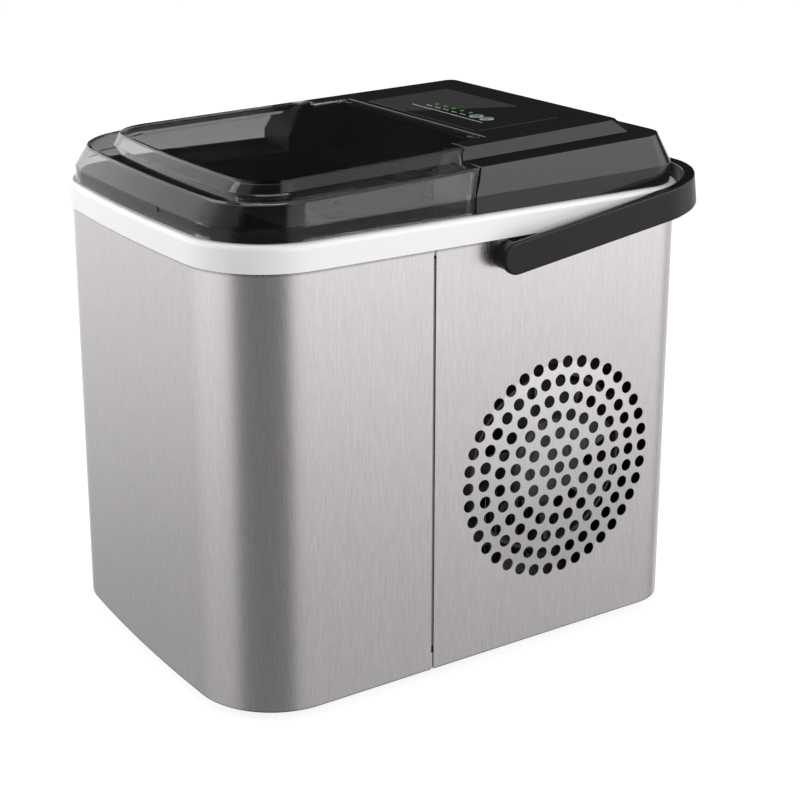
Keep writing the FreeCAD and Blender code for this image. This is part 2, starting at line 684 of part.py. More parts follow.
def ice_scoop():
    """Small shovel that lies in the basket: a bowl open at the front, and a grip."""
    x0, x1 = -62.0, -4.0
    y0, y1 = -122.0, -78.0
    z0, z1 = 97.4, 126.0
    bowl = rounded_block(x0, x1, y0, y1, z0, z1, 9)
    bowl = bowl.cut(rounded_block(x0 - 20, x1 - 2, y0 + 2, y1 - 2, z0 + 2, z1 + 5, 7))
    corner = V(x0 - 5, -200, z0 + 8)
    slope = Part.makePolygon([corner, V(x0 - 5, -200, 140), V(x0 + 40, -200, 140), corner])
    bowl = bowl.cut(Part.Face(slope).extrude(V(0, 300, 0)))
    grip = rounded_block(-6, 62, -107, -93, z1 - 6, z1, 6)
    return fused([bowl, grip])


def water_tray():
    outer = box(-TRAY_HALF, TRAY_HALF, -60, -12, 186, 212)
    low = [e for e in outer.Edges if e.BoundBox.ZMax < 186.1 and e.Length > 100]
    outer = outer.makeFillet(6.0, low)
    hollow = box(-TRAY_HALF + 2, TRAY_HALF - 2, -58, -14, 188.5, 220)
    low = [e for e in hollow.Edges if e.BoundBox.ZMax < 188.6 and e.Length > 100]
    trough = outer.cut(hollow.makeFillet(4.0, low))
    ends = []
    for side in (-1, 1):
        ends.append(rod(4.5, (side * 61.5, TRAY_Y, TRAY_Z), (side * 66, TRAY_Y, TRAY_Z)))
        ends.append(box(min(side * 62, side * 64), max(side * 62, side * 64), -22, -12, 206, TRAY_Z))
    ends.append(rod(2.5, (-87.5, TRAY_Y, TRAY_Z), (-62, TRAY_Y, TRAY_Z)))
    ends.append(rod(2.5, (62, TRAY_Y, TRAY_Z), (84.5, TRAY_Y, TRAY_Z)))
    return fused([trough] + ends)


def ice_pusher():
    """Comb across the front of the tray that sweeps finished ice into the basket."""
    blade = box(-70, 70, PUSHER_Y - 1.2, PUSHER_Y + 1.2, PUSHER_Z - 2, PUSHER_Z + 22)
    slots = [box(14.0 * i - 3, 14.0 * i + 3, -80, -50, PUSHER_Z + 6, PUSHER_Z + 17) for i in range(-4, 5)]
    ends = both_sides(rod(2.0, (69, PUSHER_Y, PUSHER_Z), (84.5, PUSHER_Y, PUSHER_Z)))
    return fused([blade.cut(slots)] + ends)


def evaporator_tube():
    z = EVAPORATOR_Z
    path = [(-72, 34, z), (-72, -45, z), (62, -45, z), (62, -27, z), (-58, -27, z), (-58, 34, z)]
    return bent_tube(path, EVAPORATOR_TUBE_R, 8.0)


def evaporator_fingers():
    fingers = []
    for x, y in FINGERS:
        finger = rod(FINGER_R, (x, y, FINGER_BOTTOM), (x, y, EVAPORATOR_Z))
        tip = [e for e in finger.Edges if e.BoundBox.ZMax < FINGER_BOTTOM + 0.1]
        finger = finger.makeFillet(2.5, tip)
        saddle = rod(EVAPORATOR_TUBE_R, (x - 9, y, EVAPORATOR_Z), (x + 9, y, EVAPORATOR_Z))
        fingers.append(finger.cut(saddle))
    return Part.makeCompound(fingers)


def evaporator_bracket():
    z = EVAPORATOR_Z + EVAPORATOR_TUBE_R
    inner = TUB_HALF - TUB_WALL
    plate = box(-inner, inner, -52, -20, z, z + 1.5)
    tabs = both_sides(box(inner - 1.5, inner, -52, -20, z - 14, z + 1))
    return fused([plate] + tabs)


def tray_motor():
    case = rounded_block(-20, 20, -15, 15, 0, 18, 5)
    case = turned(case, -90, axis=Y_AXIS)
    case.translate(V(-88, TRAY_Y, TRAY_Z))
    shaft = pipe(5.0, 2.5 + RUNNING, (-88.5, TRAY_Y, TRAY_Z), (-85.3, TRAY_Y, TRAY_Z))
    return fused([case, shaft])


def ice_sensors():
    body = box(79.2, TUB_HALF - TUB_WALL, -108, -92, 208, 222)
    eye = rod(2.5, (78.2, -100, 215), (79.5, -100, 215))
    return Part.makeCompound(both_sides(fused([body, eye])))


def intake_filter():
    x, y = PUMP
    cup = rod(9.0, (x, y, TUB_FLOOR + 3), (x, y, TUB_FLOOR + 8))
    low = TUB_FLOOR + 5
    slots = [box(x - 12, x + 12, y + d - 0.8, y + d + 0.8, low, low + 7) for d in (-6, -2, 2, 6)]
    return cup.cut(slots)


def water_pump():
    x, y = PUMP
    case = rod(17.0, (x, y, FLOOR_TOP), (x, y, 46))
    neck = rod(5.0, (x, y, 45), (x, y, TUB_FLOOR + 3))
    outlet = rod(4.0, (x, y + 14, 20), (x, y + 24, 20))
    return fused([case, neck, outlet])


def pump_hose():
    x, y = PUMP
    path = [(x, y + 24, 20), (x, 27, 20), (x, 27, 224), (x, -15, 224)]
    return bent_tube(path, 4.0, 10.0)


def drain_spout():
    tube = pipe(9.0, 6.5, (*DRAIN, FOOT_HEIGHT + 0.4), (*DRAIN, TUB_FLOOR))
    collar = pipe(12.0, 6.5, (*DRAIN, FLOOR_TOP), (*DRAIN, FLOOR_TOP + 3))
    return fused([tube, collar])


def drain_cap():
    x, y = DRAIN
    disc = rod(12.0, (x, y, 2.6), (x, y, 6.0))
    plug = rod(6.4, (x, y, 5.5), (x, y, 14))
    wing = box(x - 9, x + 9, y - 1.5, y + 1.5, 1.4, 3.0)
    return fused([disc, plug, wing])


# ---- Refrigeration and electrics --------------------------------------------------------------
def mount_points():
    x, y = COMPRESSOR
    angles = [math.radians(a) for a in MOUNT_ANGLES]
    return [(x + MOUNT_R * math.cos(a), y + MOUNT_R * math.sin(a)) for a in angles]


def compressor():
    x, y = COMPRESSOR
    can = rod(COMPRESSOR_R - 8, (x, y, 18), (x, y, COMPRESSOR_TOP))
    can = can.makeFillet(12.0, [e for e in can.Edges if e.BoundBox.ZMin > COMPRESSOR_TOP - 1])
    belt = rod(COMPRESSOR_R - 5, (x, y, 66), (x, y, 72))
    plate = rod(COMPRESSOR_R + 4, (x, y, 15), (x, y, 18))
    body = fused([can, belt, plate])
    return body.cut([rod(2.2, (px, py, 10), (px, py, 20)) for px, py in mount_points()])


def compressor_grommets():
    return Part.makeCompound([pipe(6.0, 2.2, (x, y, FLOOR_TOP), (x, y, 15)) for x, y in mount_points()])


def compressor_bolts():
    bolts = []
    for x, y in mount_points():
        head = rod(3.4, (x, y, 18), (x, y, 20.5))
        shank = rod(2.0, (x, y, FLOOR_TOP), (x, y, 19))
        bolts.append(fused([head, shank]))
    return Part.makeCompound(bolts)


def terminal_cover():
    x = COMPRESSOR[0] + COMPRESSOR_R - 5
    y = COMPRESSOR[1]
    return rounded_block(x, x + 14, y - 14, y + 14, 76, 108, 3)


def condenser_fins():
    x0, x1 = CONDENSER_X
    middle = (x0 + x1) / 2
    plates = [box(x0, x1, y, y + 0.6, 34, 166) for y in FIN_Y]
    tubes = [rod(CONDENSER_TUBE_R, (middle, 0, z), (middle, 140, z)) for z in CONDENSER_Z]
    return Part.makeCompound([p.cut(tubes) for p in plates])


def condenser_tube():
    """Serpentine tube from the filter drier up through the fins."""
    x = sum(CONDENSER_X) / 2
    near, far = 20.0, DRIER[1]
    path = [(*DRIER, 40), (*DRIER, 24), (x, far, 24)]
    for i, z in enumerate(CONDENSER_Z):
        ends = (far, near) if i % 2 == 0 else (near, far)
        path += [(x, ends[0], z), (x, ends[1], z)]
    path.append((x, far, CONDENSER_Z[-1] + 12))
    return bent_tube(path, CONDENSER_TUBE_R, 10.0)


def fan_shroud():
    y, z = VENT_Y, VENT_Z
    plate = box(87, 89, y - 54.5, y + 54.5, z - 54.5, z + 54.5)
    duct = rod(DUCT_R + 1.8, (88, y, z), (108, y, z))
    legs = [box(87, 89, y + d - 5, y + d + 5, FLOOR_TOP, z - 50) for d in (-45, 45)]
    shroud = fused([plate, duct] + legs).cut(rod(DUCT_R, (80, y, z), (112, y, z)))
    arms = []
    for i in range(3):
        arm = box(87, 89, -3, 3, 20.0, DUCT_R + 0.5)
        arm = turned(arm, 120.0 * i)
        arm.translate(V(0, y, z))
        arms.append(arm)
    cradle = pipe(22.5, 18.0, (87, y, z), (89, y, z))
    return fused([shroud, cradle] + arms)


def fan_motor():
    y, z = VENT_Y, VENT_Z
    can = rod(18.0, (75, y, z), (90, y, z))
    return can.cut(rod(2.0 + RUNNING, (84, y, z), (91, y, z)))


def fan_rotor():
    hub = rod(FAN_HUB_R, (92, 0, 0), (110.5, 0, 0))
    hub = hub.makeFillet(3.0, [e for e in hub.Edges if e.BoundBox.XMin > 110])
    shaft = rod(2.0, (84.5, 0, 0), (93, 0, 0))
    limit = rod(FAN_R, (92.5, 0, 0), (109.5, 0, 0))
    rotor = hub.fuse(shaft)
    for i in range(FAN_BLADES):
        blade = box(-0.9, 0.9, -15.0, 15.0, FAN_HUB_R - 3, FAN_R + 6)
        blade = turned(blade, 58.0, axis=Z_AXIS)
        blade.translate(V(101, 0, 0))
        blade = blade.common(limit)
        rotor = rotor.fuse(turned(blade, 360.0 * i / FAN_BLADES + 7.0))
    rotor.translate(V(0, VENT_Y, VENT_Z))
    return rotor


def filter_drier():
    body = rod(8.0, (*DRIER, 40), (*DRIER, 110))
    ends = [e for e in body.Edges if e.BoundBox.ZLength < 0.1]
    return body.makeFillet(4.0, ends)


def suction_pipe():
    """From the evaporator back to the top of the compressor."""
    x, y = COMPRESSOR
    path = [(-58, 34, EVAPORATOR_Z), (-58, y - 6, EVAPORATOR_Z), (-58, y - 6, COMPRESSOR_TOP)]
    return bent_tube(path, 3.5, 14.0)


def discharge_pipe():
    """From the compressor to the top of the condenser."""
    x, y = COMPRESSOR
    top = CONDENSER_Z[-1]
    end = sum(CONDENSER_X) / 2
    path = [(x + 14, y, COMPRESSOR_TOP), (x + 14, y, top + 28), (end, y, top + 28),
            (end, DRIER[1], top + 28), (end, DRIER[1], top + 12)]
    return bent_tube(path, 3.0, 10.0)


def liquid_line():
    """Thin pipe from the filter drier to the evaporator inlet."""
    y = DRIER[1]
    path = [(*DRIER, 110), (*DRIER, 204), (-72, y, 204), (-72, y, EVAPORATOR_Z), (-72, 34, EVAPORATOR_Z)]
    return bent_tube(path, 1.5, 12.0)


def hot_gas_valve():
    body = rod(7.0, (8, 48, 140), (8, 48, 160))
    coil = rounded_block(-6, 22, 36, 60, 160, 184, 4)
    return fused([body, coil])


def board_bracket():
    tray = box(-116.5, -110, 22, 112, 160, 238)
    return tray.cut(box(-114.8, -100, 24, 110, 162, 236))


def main_board():
    board = box(-112.5, -110.9, 26, 108, 164, 234)
    relay = box(-111, -96, 34, 50, 176, 190)
    transformer = box(-111, -86, 60, 86, 178, 202)
    capacitor = rod(7.0, (-111, 98, 218), (-92, 98, 218))
    connectors = [box(-111, -103, 32 + 18 * i, 44 + 18 * i, 222, 230) for i in range(3)]
    return fused([board, relay, transformer, capacitor] + connectors)


# ---- Export ----------------------------------------------------------------------------------
def build():
    outer = top_form(0.0)
    inner = top_form(TOP_WALL, COLLAR_TOP - 1)
    return {
        "base_pan": base_pan(),
        "rubber_feet": rubber_feet(),
        "front_shell": front_shell(),
        "rear_shell": rear_shell(),
        "seam_strips": seam_strips(),
        "top_collar": top_collar(),
        "rear_screws": rear_screws(),
        "cover_screws": cover_screws(),
        "cord_gland": cord_gland(),
        "inner_deck": inner_deck(),
        "control_cover": control_cover(outer, inner),
        "control_panel": control_panel(),
        "indicator_lenses": indicator_lenses(),
        "display_board": display_board(),
        "lid_hinge_pins": hinge_pins(),
        "lid_shell": lid_shell(outer, inner),
        "lid_grip_strip": grip_strip(),
        "power_button": push_button(BUTTON_X[0]),
        "select_button": push_button(BUTTON_X[1]),
        "carry_handle": carry_handle(),
        "handle_bosses": handle_bosses(),
        "handle_pins": handle_pins(),
        "inner_tub": inner_tub(),
        "tub_insulation": tub_insulation(),
        "ice_basket": ice_basket(),
        "ice_scoop": ice_scoop(),
        "water_tray": water_tray(),
        "ice_pusher": ice_pusher(),
        "evaporator_tube": evaporator_tube(),
        "evaporator_fingers": evaporator_fingers(),
        "evaporator_bracket": evaporator_bracket(),
        "tray_motor": tray_motor(),
        "ice_sensors": ice_sensors(),
        "intake_filter": intake_filter(),
        "water_pump": water_pump(),
        "pump_hose": pump_hose(),
        "drain_spout": drain_spout(),
        "drain_cap": drain_cap(),
        "compressor": compressor(),
        "compressor_grommets": compressor_grommets(),
        "compressor_bolts": compressor_bolts(),
        "terminal_cover": terminal_cover(),
        "condenser_fins": condenser_fins(),
        "condenser_tube": condenser_tube(),
        "fan_shroud": fan_shroud(),
        "fan_motor": fan_motor(),
        "fan_rotor": fan_rotor(),
        "filter_drier": filter_drier(),
        "suction_pipe": suction_pipe(),
        "discharge_pipe": discharge_pipe(),
        "liquid_line": liquid_line(),
        "hot_gas_valve": hot_gas_valve(),
        "board_bracket": board_bracket(),
        "main_board": main_board(),
    }


os.makedirs("parts", exist_ok=True)
for name, shape in build().items():
    shape.exportStep(f"parts/{name}.step")
    volume = shape.Volume / 1000
    print(f"{name:22s} solids {len(shape.Solids):3d}  volume {volume:8.2f} cm3  valid {shape.isValid()}")
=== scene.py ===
# %% [markdown]
# # A countertop ice maker
# This lesson dresses a finished CAD model of a portable ice maker: a brushed steel casing, a white collar,
# a smoked lid, a glossy black control cover, a round air intake with a fan behind it and a black handle.
# Where a piece needs softer edges or finer detail than the CAD solid has, a new surface is worked out with
# numpy and stands in for it.

# %% Load the frame
import math

import bmesh
import bpy
import numpy as np
from mathutils import Matrix


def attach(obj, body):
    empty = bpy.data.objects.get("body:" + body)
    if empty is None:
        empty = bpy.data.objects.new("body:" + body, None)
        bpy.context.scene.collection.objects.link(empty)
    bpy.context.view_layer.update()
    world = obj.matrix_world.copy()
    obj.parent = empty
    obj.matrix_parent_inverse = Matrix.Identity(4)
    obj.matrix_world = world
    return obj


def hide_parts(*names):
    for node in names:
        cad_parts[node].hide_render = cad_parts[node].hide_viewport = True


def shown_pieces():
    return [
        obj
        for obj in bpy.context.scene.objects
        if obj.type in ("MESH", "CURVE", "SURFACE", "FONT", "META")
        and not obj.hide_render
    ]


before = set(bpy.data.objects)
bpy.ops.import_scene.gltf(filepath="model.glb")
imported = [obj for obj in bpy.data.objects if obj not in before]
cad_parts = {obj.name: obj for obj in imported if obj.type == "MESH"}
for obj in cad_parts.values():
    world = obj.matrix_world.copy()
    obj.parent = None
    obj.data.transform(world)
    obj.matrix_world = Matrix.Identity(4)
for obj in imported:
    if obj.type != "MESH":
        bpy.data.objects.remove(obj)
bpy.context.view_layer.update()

# %% [markdown]
# ## Measures
# The numbers below are the machine's own, in millimetres, and they repeat the few that the new surfaces
# need. The tops are flat planes that rise slowly to the rear, so each is a height at y = 0 and a slope.

# %% Measures of the machine
MM = 0.001
FRONT_Y, REAR_Y, HALF_WIDTH = -163.0, 149.0, 118.5
FRONT_SAG, FRONT_CORNER, REAR_CORNER = 6.1, 49.0, 30.0
BOW_RADIUS = (HALF_WIDTH ** 2 + FRONT_SAG ** 2) / (2 * FRONT_SAG)
COLLAR_TOP, BAND_INSET, TOP_WALL = 271.0, 2.5, 2.5
BAND_PLANE, LEDGE_PLANE, PLATFORM_PLANE = (281.1, 0.0117), (296.2, 0.036), (302.6, 0.036)
SEAM_LINE = [(-8.9, 200.0), (-8.9, 281.0), (-2.8, 296.1), (2.9, 302.7), (2.9, 330.0)]
SEAM_GAP, LID_REST = 1.0, 0.4
TONGUE_HALF, TONGUE_END, KNUCKLE_R, PIN_R = 74.0, 26.4, 3.5, 1.5
HINGE_Y = TONGUE_END - KNUCKLE_R
HINGE_Z = PLATFORM_PLANE[0] + PLATFORM_PLANE[1] * HINGE_Y - KNUCKLE_R
PANEL_X, PANEL_Y, PANEL_DEPTH = (-59.0, 59.0), (32.4, 93.5), 1.0
LED_X = np.linspace(-21.2, 14.6, 5)
BUTTON_X, BUTTON_Y, BUTTON_R = (24.6, 35.1), 57.0, 4.4
FAN_Y, FAN_Z, FAN_R, HUB_R, FAN_BLADES = 51.4, 112.0, 50.0, 27.0, 7
FAR = 400.0
TONGUE_ROUND = 0.4
BARREL_R, BARREL_FLAT, BORE_END, BORE_SLACK = 3.4, 0.9, 62.0, 0.05

# %% [markdown]
# ## From arrays to pieces
# A surface on a grid is a stack of rings. One helper turns any stack of rings into a closed mesh: it joins
# each ring to the next with quads and closes the first and last ring with one face each. It works on whole
# arrays, so a dense surface costs no more code than a coarse one.

# %% Helpers that make a mesh piece
def piece_from(name, points, faces, body=None, slot=None, replaces=()):
    """Makes an object from points in millimetres and a list of faces, and lets it ride on a body."""
    mesh = bpy.data.meshes.new(name)
    mesh.from_pydata((np.asarray(points, float) * MM).tolist(), [], [list(map(int, f)) for f in faces])
    mesh.validate()
    piece = bpy.data.objects.new(name, mesh)
    bpy.context.scene.collection.objects.link(piece)
    settle(piece, body, replaces)
    return piece


def settle(piece, body=None, replaces=()):
    """Lets a piece ride on a body and hides the CAD nodes it stands in for."""
    if body:
        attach(piece, body)
    if replaces:
        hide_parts(*replaces)


def skin(rings, first_cap=True, last_cap=True, offset=0):
    """Faces of a stack of closed rings, shaped (rows, columns, 3): quads between rows, and two end caps."""
    rows, columns = rings.shape[:2]
    row, column = np.meshgrid(np.arange(rows - 1), np.arange(columns), indexing="ij")
    beside = (column + 1) % columns
    quads = np.stack([row * columns + column, row * columns + beside,
                      (row + 1) * columns + beside, (row + 1) * columns + column], -1).reshape(-1, 4)
    faces = (quads + offset).tolist()
    if first_cap:
        faces.append((np.arange(columns)[::-1] + offset).tolist())
    if last_cap:
        faces.append((np.arange(columns) + (rows - 1) * columns + offset).tolist())
    return faces


def stack_piece(name, stacks, **ride):
    """One piece from several closed stacks of rings."""
    points, faces, count = [], [], 0
    for rings in stacks:
        faces += skin(rings, offset=count)
        points.append(rings.reshape(-1, 3))
        count += len(points[-1])
    return piece_from(name, np.concatenate(points), faces, **ride)


def shade(piece, angle=30.0):
    """Smooth shading that keeps edges sharper than the angle, weighted by face size."""
    mesh = piece.data
    mesh.polygons.foreach_set("use_smooth", np.ones(len(mesh.polygons), bool))
    mesh.set_sharp_from_angle(angle=math.radians(angle))
    weighted = piece.modifiers.new("even highlights", "WEIGHTED_NORMAL")
    weighted.keep_sharp = True


# %% [markdown]
# ## Cutting one form with another
# The lid and the control cover are one moulded form that is parted along a slanted line, so both are cut
# from the same shell with the exact boolean. The result is written back as a plain mesh, which keeps the
# export simple and leaves no hidden helper objects.

# %% Helpers that cut and join
def carve(piece, tools, operation="DIFFERENCE"):
    """Applies an exact boolean with each tool object in turn and removes the tools."""
    for tool in tools:
        cut = piece.modifiers.new("cut", "BOOLEAN")
        cut.operation, cut.solver, cut.object = operation, "EXACT", tool
    bpy.context.view_layer.update()
    shaped = piece.evaluated_get(bpy.context.evaluated_depsgraph_get())
    mesh = bpy.data.meshes.new_from_object(shaped)
    piece.modifiers.clear()
    piece.data = mesh
    for tool in tools:
        bpy.data.objects.remove(tool)
    return piece


def side_prism(outline, x_low, x_high):
    """A tool: a polygon of (y, z) points carried along X."""
    flat = np.array(outline, float)
    rings = np.stack([np.column_stack([np.full(len(flat), x), flat]) for x in (x_low, x_high)])
    tool = piece_from("tool", rings.reshape(-1, 3), skin(rings))
    face_out(tool)
    return tool


def face_out(piece):
    """Turns every face of a closed mesh outwards."""
    form = bmesh.new()
    form.from_mesh(piece.data)
    bmesh.ops.recalc_face_normals(form, faces=form.faces)
    form.to_mesh(piece.data)
    form.free()


def on_platform(points):
    """Moves points built on z = 0 onto the sloping top: a turn about X, then a lift."""
    tilt = math.atan(PLATFORM_PLANE[1])
    x, y, z = points[..., 0], points[..., 1], points[..., 2]
    turned_y = y * math.cos(tilt) - z * math.sin(tilt)
    turned_z = y * math.sin(tilt) + z * math.cos(tilt) + PLATFORM_PLANE[0]
    return np.stack([x, turned_y, turned_z], -1)


def ring_of(radius, z, centre=(0.0, 0.0), count=48):
    """A level circle as an array of points."""
    turn = np.linspace(0, 2 * math.pi, count, endpoint=False)
    return np.stack([centre[0] + radius * np.cos(turn), centre[1] + radius * np.sin(turn),
                     np.full(count, z)], -1)


# %% [markdown]
# ## The plan outline
# Seen from above, everything on this machine follows one outline: a slightly bowed front, two large front
# corners, straight sides, two smaller rear corners and a straight rear. Every level of the top has the same
# number of points on each part of it, so a surface between two levels runs straight from corner to corner.

# %% Outline of one level
def plan(half_front, half_rear, front, rear, front_corner, rear_corner, bow):
    """Points of the outline, counter-clockwise from the middle of the front."""
    bow_y, corner_x = front + bow, half_front - front_corner
    corner_y = bow_y - math.sqrt((bow - front_corner) ** 2 - corner_x ** 2)
    join = math.atan2(corner_y - bow_y, corner_x)
    bowed = np.linspace(-math.pi / 2, join, 16)
    turned = np.linspace(join, 0, 33)
    rear_turn = np.linspace(0, math.pi / 2, 17)
    runs = [
        np.stack([bow * np.cos(bowed), bow_y + bow * np.sin(bowed)], -1)[:-1],
        np.stack([corner_x + front_corner * np.cos(turned), corner_y + front_corner * np.sin(turned)], -1),
        np.stack([half_rear - rear_corner + rear_corner * np.cos(rear_turn),
                  rear - rear_corner + rear_corner * np.sin(rear_turn)], -1),
        np.array([[0.0, rear]]),
    ]
    right = np.concatenate(runs)
    left = right[1:-1][::-1] * [-1, 1]
    return np.concatenate([right, left])


def level(outline, plane):
    """Lifts an outline onto the plane z = height + slope * y."""
    return np.column_stack([outline, plane[0] + plane[1] * outline[:, 1]])


def rounded_stack(levels, radii, steps=4):
    """Rings through the levels. At each inner level the straight walls meet in a short quadratic curve."""
    rings = [levels[0]]
    for before, corner, after, radius in zip(levels, levels[1:], levels[2:], radii):
        start = corner + toward(corner, before, radius)
        end = corner + toward(corner, after, radius)
        for t in np.linspace(0, 1, steps + 1):
            rings.append((1 - t) ** 2 * start + 2 * t * (1 - t) * corner + t ** 2 * end)
    rings.append(levels[-1])
    return rings


def toward(corner, other, radius):
    """Step from each corner point towards the other level, at most 45% of the way."""
    path = other - corner
    length = np.linalg.norm(path, axis=1, keepdims=True)
    return path / length * np.minimum(radius, 0.45 * length)


# %% [markdown]
# ## The moulded top
# The top is a stepped plastic shell: a low band, a broad chamfer up to a ledge, a second small chamfer and a
# flat platform. Real mouldings never have knife edges, and the small radii are what catches the light, so
# the rounding is built into the shape. The inner wall repeats the same levels, moved in by the wall.

# %% Shell of the top
def top_levels(wall, base):
    """The levels of the stepped form, each moved in and down by the wall."""
    side = BAND_INSET + wall
    half = HALF_WIDTH - side
    body = plan(half, half, FRONT_Y + side, REAR_Y - side, FRONT_CORNER - side, REAR_CORNER - side,
                BOW_RADIUS - side)
    ledge = plan(111.0 - wall, 112.3 - wall, -152.8 + wall, 132.2 - wall, 41.0 - wall, 16.0 - wall / 2,
                 BOW_RADIUS - 10)
    step_foot = plan(93.2 - wall, 94.6 - wall, -138.3 + wall, 118.9 - wall, 28.0 - wall, 3.0 - wall * 0.4,
                     BOW_RADIUS - 25)
    crown = plan(91.2 - wall, 86.0 - wall, -134.1 + wall, 116.1 - wall, 24.0 - wall, 5.5 - wall * 0.4,
                 BOW_RADIUS - 25)

    def sunk(plane, part=1.0):
        return plane[0] - wall * part, plane[1]

    middle = crown * [0.9, 0.9] - [0, 1.0]
    return [level(body, (base, 0.0)), level(body, sunk(BAND_PLANE, 0.5)), level(ledge, sunk(LEDGE_PLANE)),
            level(step_foot, sunk(LEDGE_PLANE)), level(crown, sunk(PLATFORM_PLANE)),
            level(middle, sunk(PLATFORM_PLANE))]


def top_shell(name, base):
    """Closed shell: down the inner wall, across the rim and up the outer wall."""
    inner = rounded_stack(top_levels(TOP_WALL, base), (0.5, 0.5, 0.5, 0.5))
    outer = rounded_stack(top_levels(0.0, base), (0.35, 0.35, 0.3, 0.35))
    return stack_piece(name, [np.stack(inner[::-1] + outer)])


def seam_block(shift, side):
    """Polygon of everything on one side of the parting line, which is moved back by shift."""
    line = [(y + shift, z) for y, z in SEAM_LINE]
    return line + [(side * FAR, 330.0), (side * FAR, 200.0)]


lid = top_shell("lid_smoked", COLLAR_TOP + LID_REST)
tongue_top = PLATFORM_PLANE[0] + PLATFORM_PLANE[1] * TONGUE_END
round_y, round_z = TONGUE_END - TONGUE_ROUND, tongue_top - TONGUE_ROUND
tongue_edge = [(TONGUE_END, 200.0)]
tongue_edge += [(round_y + TONGUE_ROUND * math.cos(t), round_z + TONGUE_ROUND * math.sin(t))
                for t in np.linspace(0, math.pi / 2, 7)]
tongue_edge += [(round_y, 330.0), (FAR, 330.0), (FAR, 200.0)]
carve(lid, [side_prism(seam_block(0.0, 1), TONGUE_HALF, FAR),
            side_prism(seam_block(0.0, 1), -FAR, -TONGUE_HALF),
            side_prism(tongue_edge, -TONGUE_HALF - 1, TONGUE_HALF + 1)])
settle(lid, "lid", ["lid_shell"])
shade(lid)
print("lid faces:", len(lid.data.polygons))


# %% Find the parted faces
def parted_faces(piece, toward_y, beyond):
    """Marks the faces that the parting cut made: normal along Y and centre past a given y, in millimetres."""
    count = len(piece.data.polygons)
    normals, centres = np.empty(count * 3), np.empty(count * 3)
    piece.data.polygons.foreach_get("normal", normals)
    piece.data.polygons.foreach_get("center", centres)
    return (toward_y * normals[1::3] > 0.8) & (centres[1::3] > beyond * MM)


# The cut faces found here get a near-black finish further down. That colour is painted shade along the seam, not a
# dark part of the clear plastic.
lid_cut_painted_shade_faces = parted_faces(lid, 1, -12.0)
print("parted faces of the lid:", int(lid_cut_painted_shade_faces.sum()))

# %% [markdown]
# ## The hinge barrel
# Below the rear edge of the lid's tongue sits an opaque barrel that holds the two hinge pins. It is round,
# flattened where the lid is bonded to it, and bored from both ends.

# %% Hinge barrel
flat_from = math.asin(BARREL_FLAT / BARREL_R)
barrel_turn = np.linspace(0, 2 * math.pi, 40, endpoint=False)
barrel_turn = np.sort(np.append(barrel_turn, [flat_from, math.pi - flat_from]))
barrel_radius = np.minimum(BARREL_R, BARREL_FLAT / np.maximum(np.sin(barrel_turn), 1e-6))


def barrel_ring(x, radius):
    """A ring across the hinge axis; radius is a number or one value per direction."""
    return np.stack([np.full(len(barrel_turn), x), HINGE_Y + radius * np.cos(barrel_turn),
                     HINGE_Z + radius * np.sin(barrel_turn)], -1)


barrel_half = TONGUE_HALF - 0.2
bored = np.minimum(PIN_R + BORE_SLACK, barrel_radius)
barrel = stack_piece("hinge_barrel", [np.stack([
    barrel_ring(-BORE_END, 0.01), barrel_ring(-BORE_END, bored), barrel_ring(-barrel_half, bored),
    barrel_ring(-barrel_half, barrel_radius), barrel_ring(barrel_half, barrel_radius),
    barrel_ring(barrel_half, bored), barrel_ring(BORE_END, bored), barrel_ring(BORE_END, 0.01)])],
    body="lid", slot="black")
face_out(barrel)
shade(barrel)

# %% [markdown]
# ## The control cover
# The rear part of the same shell. It has a shallow pocket for the panel and two holes for the buttons. The
# notch in its front edge is where the lid's tongue reaches back to the hinge.

# %% Control cover
def platform_block(x_low, x_high, y_low, y_high, z_low, z_high):
    """A tool: an upright block, laid on the sloping top."""
    flat = np.array([(x_low, y_low), (x_high, y_low), (x_high, y_high), (x_low, y_high)], float)
    rings = np.stack([np.column_stack([flat, np.full(4, z)]) for z in (z_low, z_high)])
    return piece_from("tool", on_platform(rings).reshape(-1, 3), skin(rings))


def eased_edge(radius):
    """A quarter turn from a wall's face to the top, as (outwards, upwards) from the edge it takes off."""
    turn = np.linspace(0, math.pi / 2, 6)
    return np.stack([radius - radius * np.cos(turn) - 0.02, radius * np.sin(turn) - radius + 0.02], -1)


cover = top_shell("control_cover_skin", COLLAR_TOP)
notch = TONGUE_HALF + 0.8
tools = [side_prism(seam_block(SEAM_GAP, -1), notch, FAR), side_prism(seam_block(SEAM_GAP, -1), -FAR, -notch)]
notch_end = TONGUE_END + SEAM_GAP
tools.append(side_prism([(notch_end, 200), (notch_end, 330), (-FAR, 330), (-FAR, 200)],
                        -notch - 1e-3, notch + 1e-3))
flat = np.concatenate([[(-0.5, -1.0)], eased_edge(0.6), [(0.62, 0.8), (-0.5, 0.8)]])
rear_rings = np.stack([np.stack([np.full(len(flat), x), notch_end + flat[:, 0], flat[:, 1]], -1)
                       for x in (-notch - 0.6, notch + 0.6)])
tools.append(piece_from("tool", on_platform(rear_rings).reshape(-1, 3), skin(rear_rings)))
for side in (-1, 1):
    side_rings = np.stack([np.stack([side * (notch + flat[:, 0]), np.full(len(flat), y), flat[:, 1]], -1)
                           for y in (-4.0, notch_end + 0.6)])
    tools.append(piece_from("tool", on_platform(side_rings).reshape(-1, 3), skin(side_rings)))
for tool in tools:
    face_out(tool)
PANEL_SLACK = 0.04
tools.append(platform_block(PANEL_X[0] - PANEL_SLACK, PANEL_X[1] + PANEL_SLACK,
                            PANEL_Y[0] - PANEL_SLACK, PANEL_Y[1] + PANEL_SLACK, -PANEL_DEPTH, 5))
for x in BUTTON_X:
    hole = np.stack([on_platform(ring_of(BUTTON_R + 0.3, z, (x, BUTTON_Y))) for z in (-6.0, 5.0)])
    tools.append(stack_piece("tool", [hole]))
carve(cover, tools)
settle(cover, "housing", ["control_cover"])
shade(cover)
